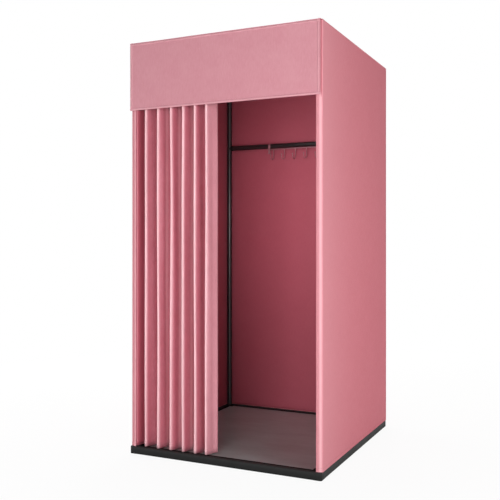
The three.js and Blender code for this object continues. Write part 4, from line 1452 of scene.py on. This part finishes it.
# Hook: a round section whose radius is the wire's, grows to a weld at the bar and to a ball at
# the tip, where it is sqrt(ball^2 - distance from the ball's centre^2)
def rackHook(node):
    setup = rackSetup
    low, high = cornersOf(node)
    wire, ball = setup["wireRadius"], setup["ballRadius"]
    path = walkPath((high[1] - wire, high[2]), -90, [
        ("straight", setup["shank"]),
        ("arc", setup["bendRadius"], -180),
        ("straight", setup["tip"] + ball),
    ])
    centre = path["length"] - ball
    onBall = centre - ball * np.cos(np.linspace(setup["ballStart"], np.pi, setup["ballSteps"]))
    s = joinLines(path["s"][path["s"] < centre - ball], setup["weldSteps"], onBall, places=6)
    bulge = np.sqrt(np.clip(ball ** 2 - (s - centre) ** 2, 0, None))
    middle, half = setup["weldSpread"]
    weld = (setup["weldRadius"] - wire) * halfRound((s - middle) / half)
    radius = np.where(s > centre, bulge, np.maximum(wire + weld, bulge))
    profile = circleProfile(1, setup["wireSides"])
    x, sharpAngle = (low[0] + high[0]) / 2, setup["wireSharpAngle"]
    made = bentPiece(node + "_wire", path, s, x, profile, radius, sharpAngle)
    finishPiece(made, roseMetal, "hook_rack", [node])


barFront = rackStraps()
rackBar(barFront)
for number in range(1, 7):
    rackHook(f"rack_hook_{number}")
print("stage: hook rack bent")


# Lights

boxLights = {  # azimuth to the right of the front, height, power
    "leftBox": (-60, 1.3, 21.5),
    "frontBox": (12, 1.3, 75.5),
    "rightBox": (60, 1.3, 66.5),
    "sideBox": (105, 1.3, 20),
    "rearBox": (-166, 1.5, 78),
    "leftRearBox": (-112, 1.5, 75),
}
boxSetup = {"distance": 4.0, "size": (1.8, 2.0), "aim": 1.0}
topLight = {"place": (-0.45, 0.6, 4.2), "turn": (0, 0, 0), "size": (1.8, 1.8), "power": 50}
cabinLights = {  # tilt 0 shines down, 90 at the rear wall, and turn is towards the left
    "roofGlow": {
        "place": (0.12, -0.12, 1.9), "tilt": 24, "turn": 0, "size": (0.7, 0.4), "power": 0.8,
    },
    "doorGlow": {
        "place": (0.04, -0.36, 1.15), "tilt": 90, "turn": 12, "size": (0.2, 0.5), "power": 1.9,
    },
}
studio = {
    "ambient": 0.1,
    "ambientTone": (1.0, 0.98, 0.98, 1),
    "white": (1, 1, 1, 1),
    "floorTone": (0.9, 0.9, 0.9, 1),
    "floorLevel": -0.0005,
    "floorRings": [0.0, 0.6, 1.5, 4.0, 12.0],
    "floorSides": 48,
    "lift": 0.93,  # how white the floor looks at the booth
    "liftReach": (0.9, 3.2),  # from there to where it is wholly white
}


def softLight(name, place, turn, size, power):
    lamp = bpy.data.lights.new(name, "AREA")
    lamp.shape = "RECTANGLE"
    lamp.size, lamp.size_y = size
    lamp.energy = power
    holder = bpy.data.objects.new(name, lamp)
    holder.location, holder.rotation_euler = place, turn
    scene.collection.objects.link(holder)


# Softbox at an azimuth in degrees, aimed at the booth's middle
def softBox(name, azimuth, height, power):
    turn, reach = math.radians(azimuth), boxSetup["distance"]
    place = (reach * math.sin(turn), -reach * math.cos(turn), height)
    fall = math.atan((height - boxSetup["aim"]) / reach)
    softLight(name, place, (math.pi / 2 - fall, 0, turn), boxSetup["size"], power)


# 1 for rays of the camera, of mirrors and of clear things, and 0 for the rest
def seenRays(tree):
    rays = addNode(tree, "ShaderNodeLightPath").outputs
    seen = maths(tree, "ADD", rays["Is Camera Ray"], rays["Is Glossy Ray"])
    return maths(tree, "ADD", seen, rays["Is Transmission Ray"], clamp=True)


# Shows one shader or the other by a share, at the end of the tree
def endWithMix(tree, share, first, second, kind):
    mix = addNode(tree, "ShaderNodeMixShader", {0: share, 1: first.outputs[0], 2: second.outputs[0]})
    addNode(tree, kind, {"Surface": mix.outputs[0]})


# White for the rays that are seen, and a plain soft light for the rest
def makeWorld():
    world = bpy.data.worlds.new("studio")
    world.use_nodes = True
    tree = world.node_tree
    tree.nodes.clear()
    soft = addNode(tree, "ShaderNodeBackground", {0: studio["ambientTone"], 1: studio["ambient"]})
    white = addNode(tree, "ShaderNodeBackground", {0: studio["white"], 1: 1.0})
    endWithMix(tree, seenRays(tree), soft, white, "ShaderNodeOutputWorld")
    scene.world = world


# Pale floor: a wide disc, turned from the middle outwards
def makeFloor():
    rings, sides = studio["floorRings"], studio["floorSides"]
    radius = np.array(rings)[None, :]
    angle = np.linspace(0, 2 * np.pi, sides, endpoint=False)[:, None]
    level = 0 * radius * angle + studio["floorLevel"]
    points = np.stack([radius * np.cos(angle), radius * np.sin(angle), level], axis=-1)
    quads = gridQuads(sides, len(rings), wrapRows=True)
    made = faceTowards(closeUp(meshObject("studioFloor", points, quads)), (0, 0, 1))
    material = bpy.data.materials.new("studioFloor")
    material.use_nodes = True
    tree = material.node_tree
    tree.nodes.clear()
    inputs = {0: objectPlace(tree)}
    away = addNode(tree, "ShaderNodeVectorMath", inputs, operation="LENGTH").outputs["Value"]
    lift = ramp(tree, away, *studio["liftReach"], studio["lift"], 1.0)
    matt = addNode(tree, "ShaderNodeBsdfDiffuse", {0: studio["floorTone"]})
    white = addNode(tree, "ShaderNodeEmission", {0: studio["white"], 1: 1.0})
    seen = maths(tree, "MULTIPLY", seenRays(tree), lift)
    endWithMix(tree, seen, matt, white, "ShaderNodeOutputMaterial")
    made.data.materials.append(material)


for name, setup in boxLights.items():
    softBox(name, *setup)
softLight("topLight", **topLight)
for name, setup in cabinLights.items():
    turn = (math.radians(setup["tilt"]), 0, math.radians(setup["turn"]))
    softLight(name, setup["place"], turn, setup["size"], setup["power"])
makeWorld()
makeFloor()
scene.view_settings.view_transform = "Standard"
print("stage: studio lit")
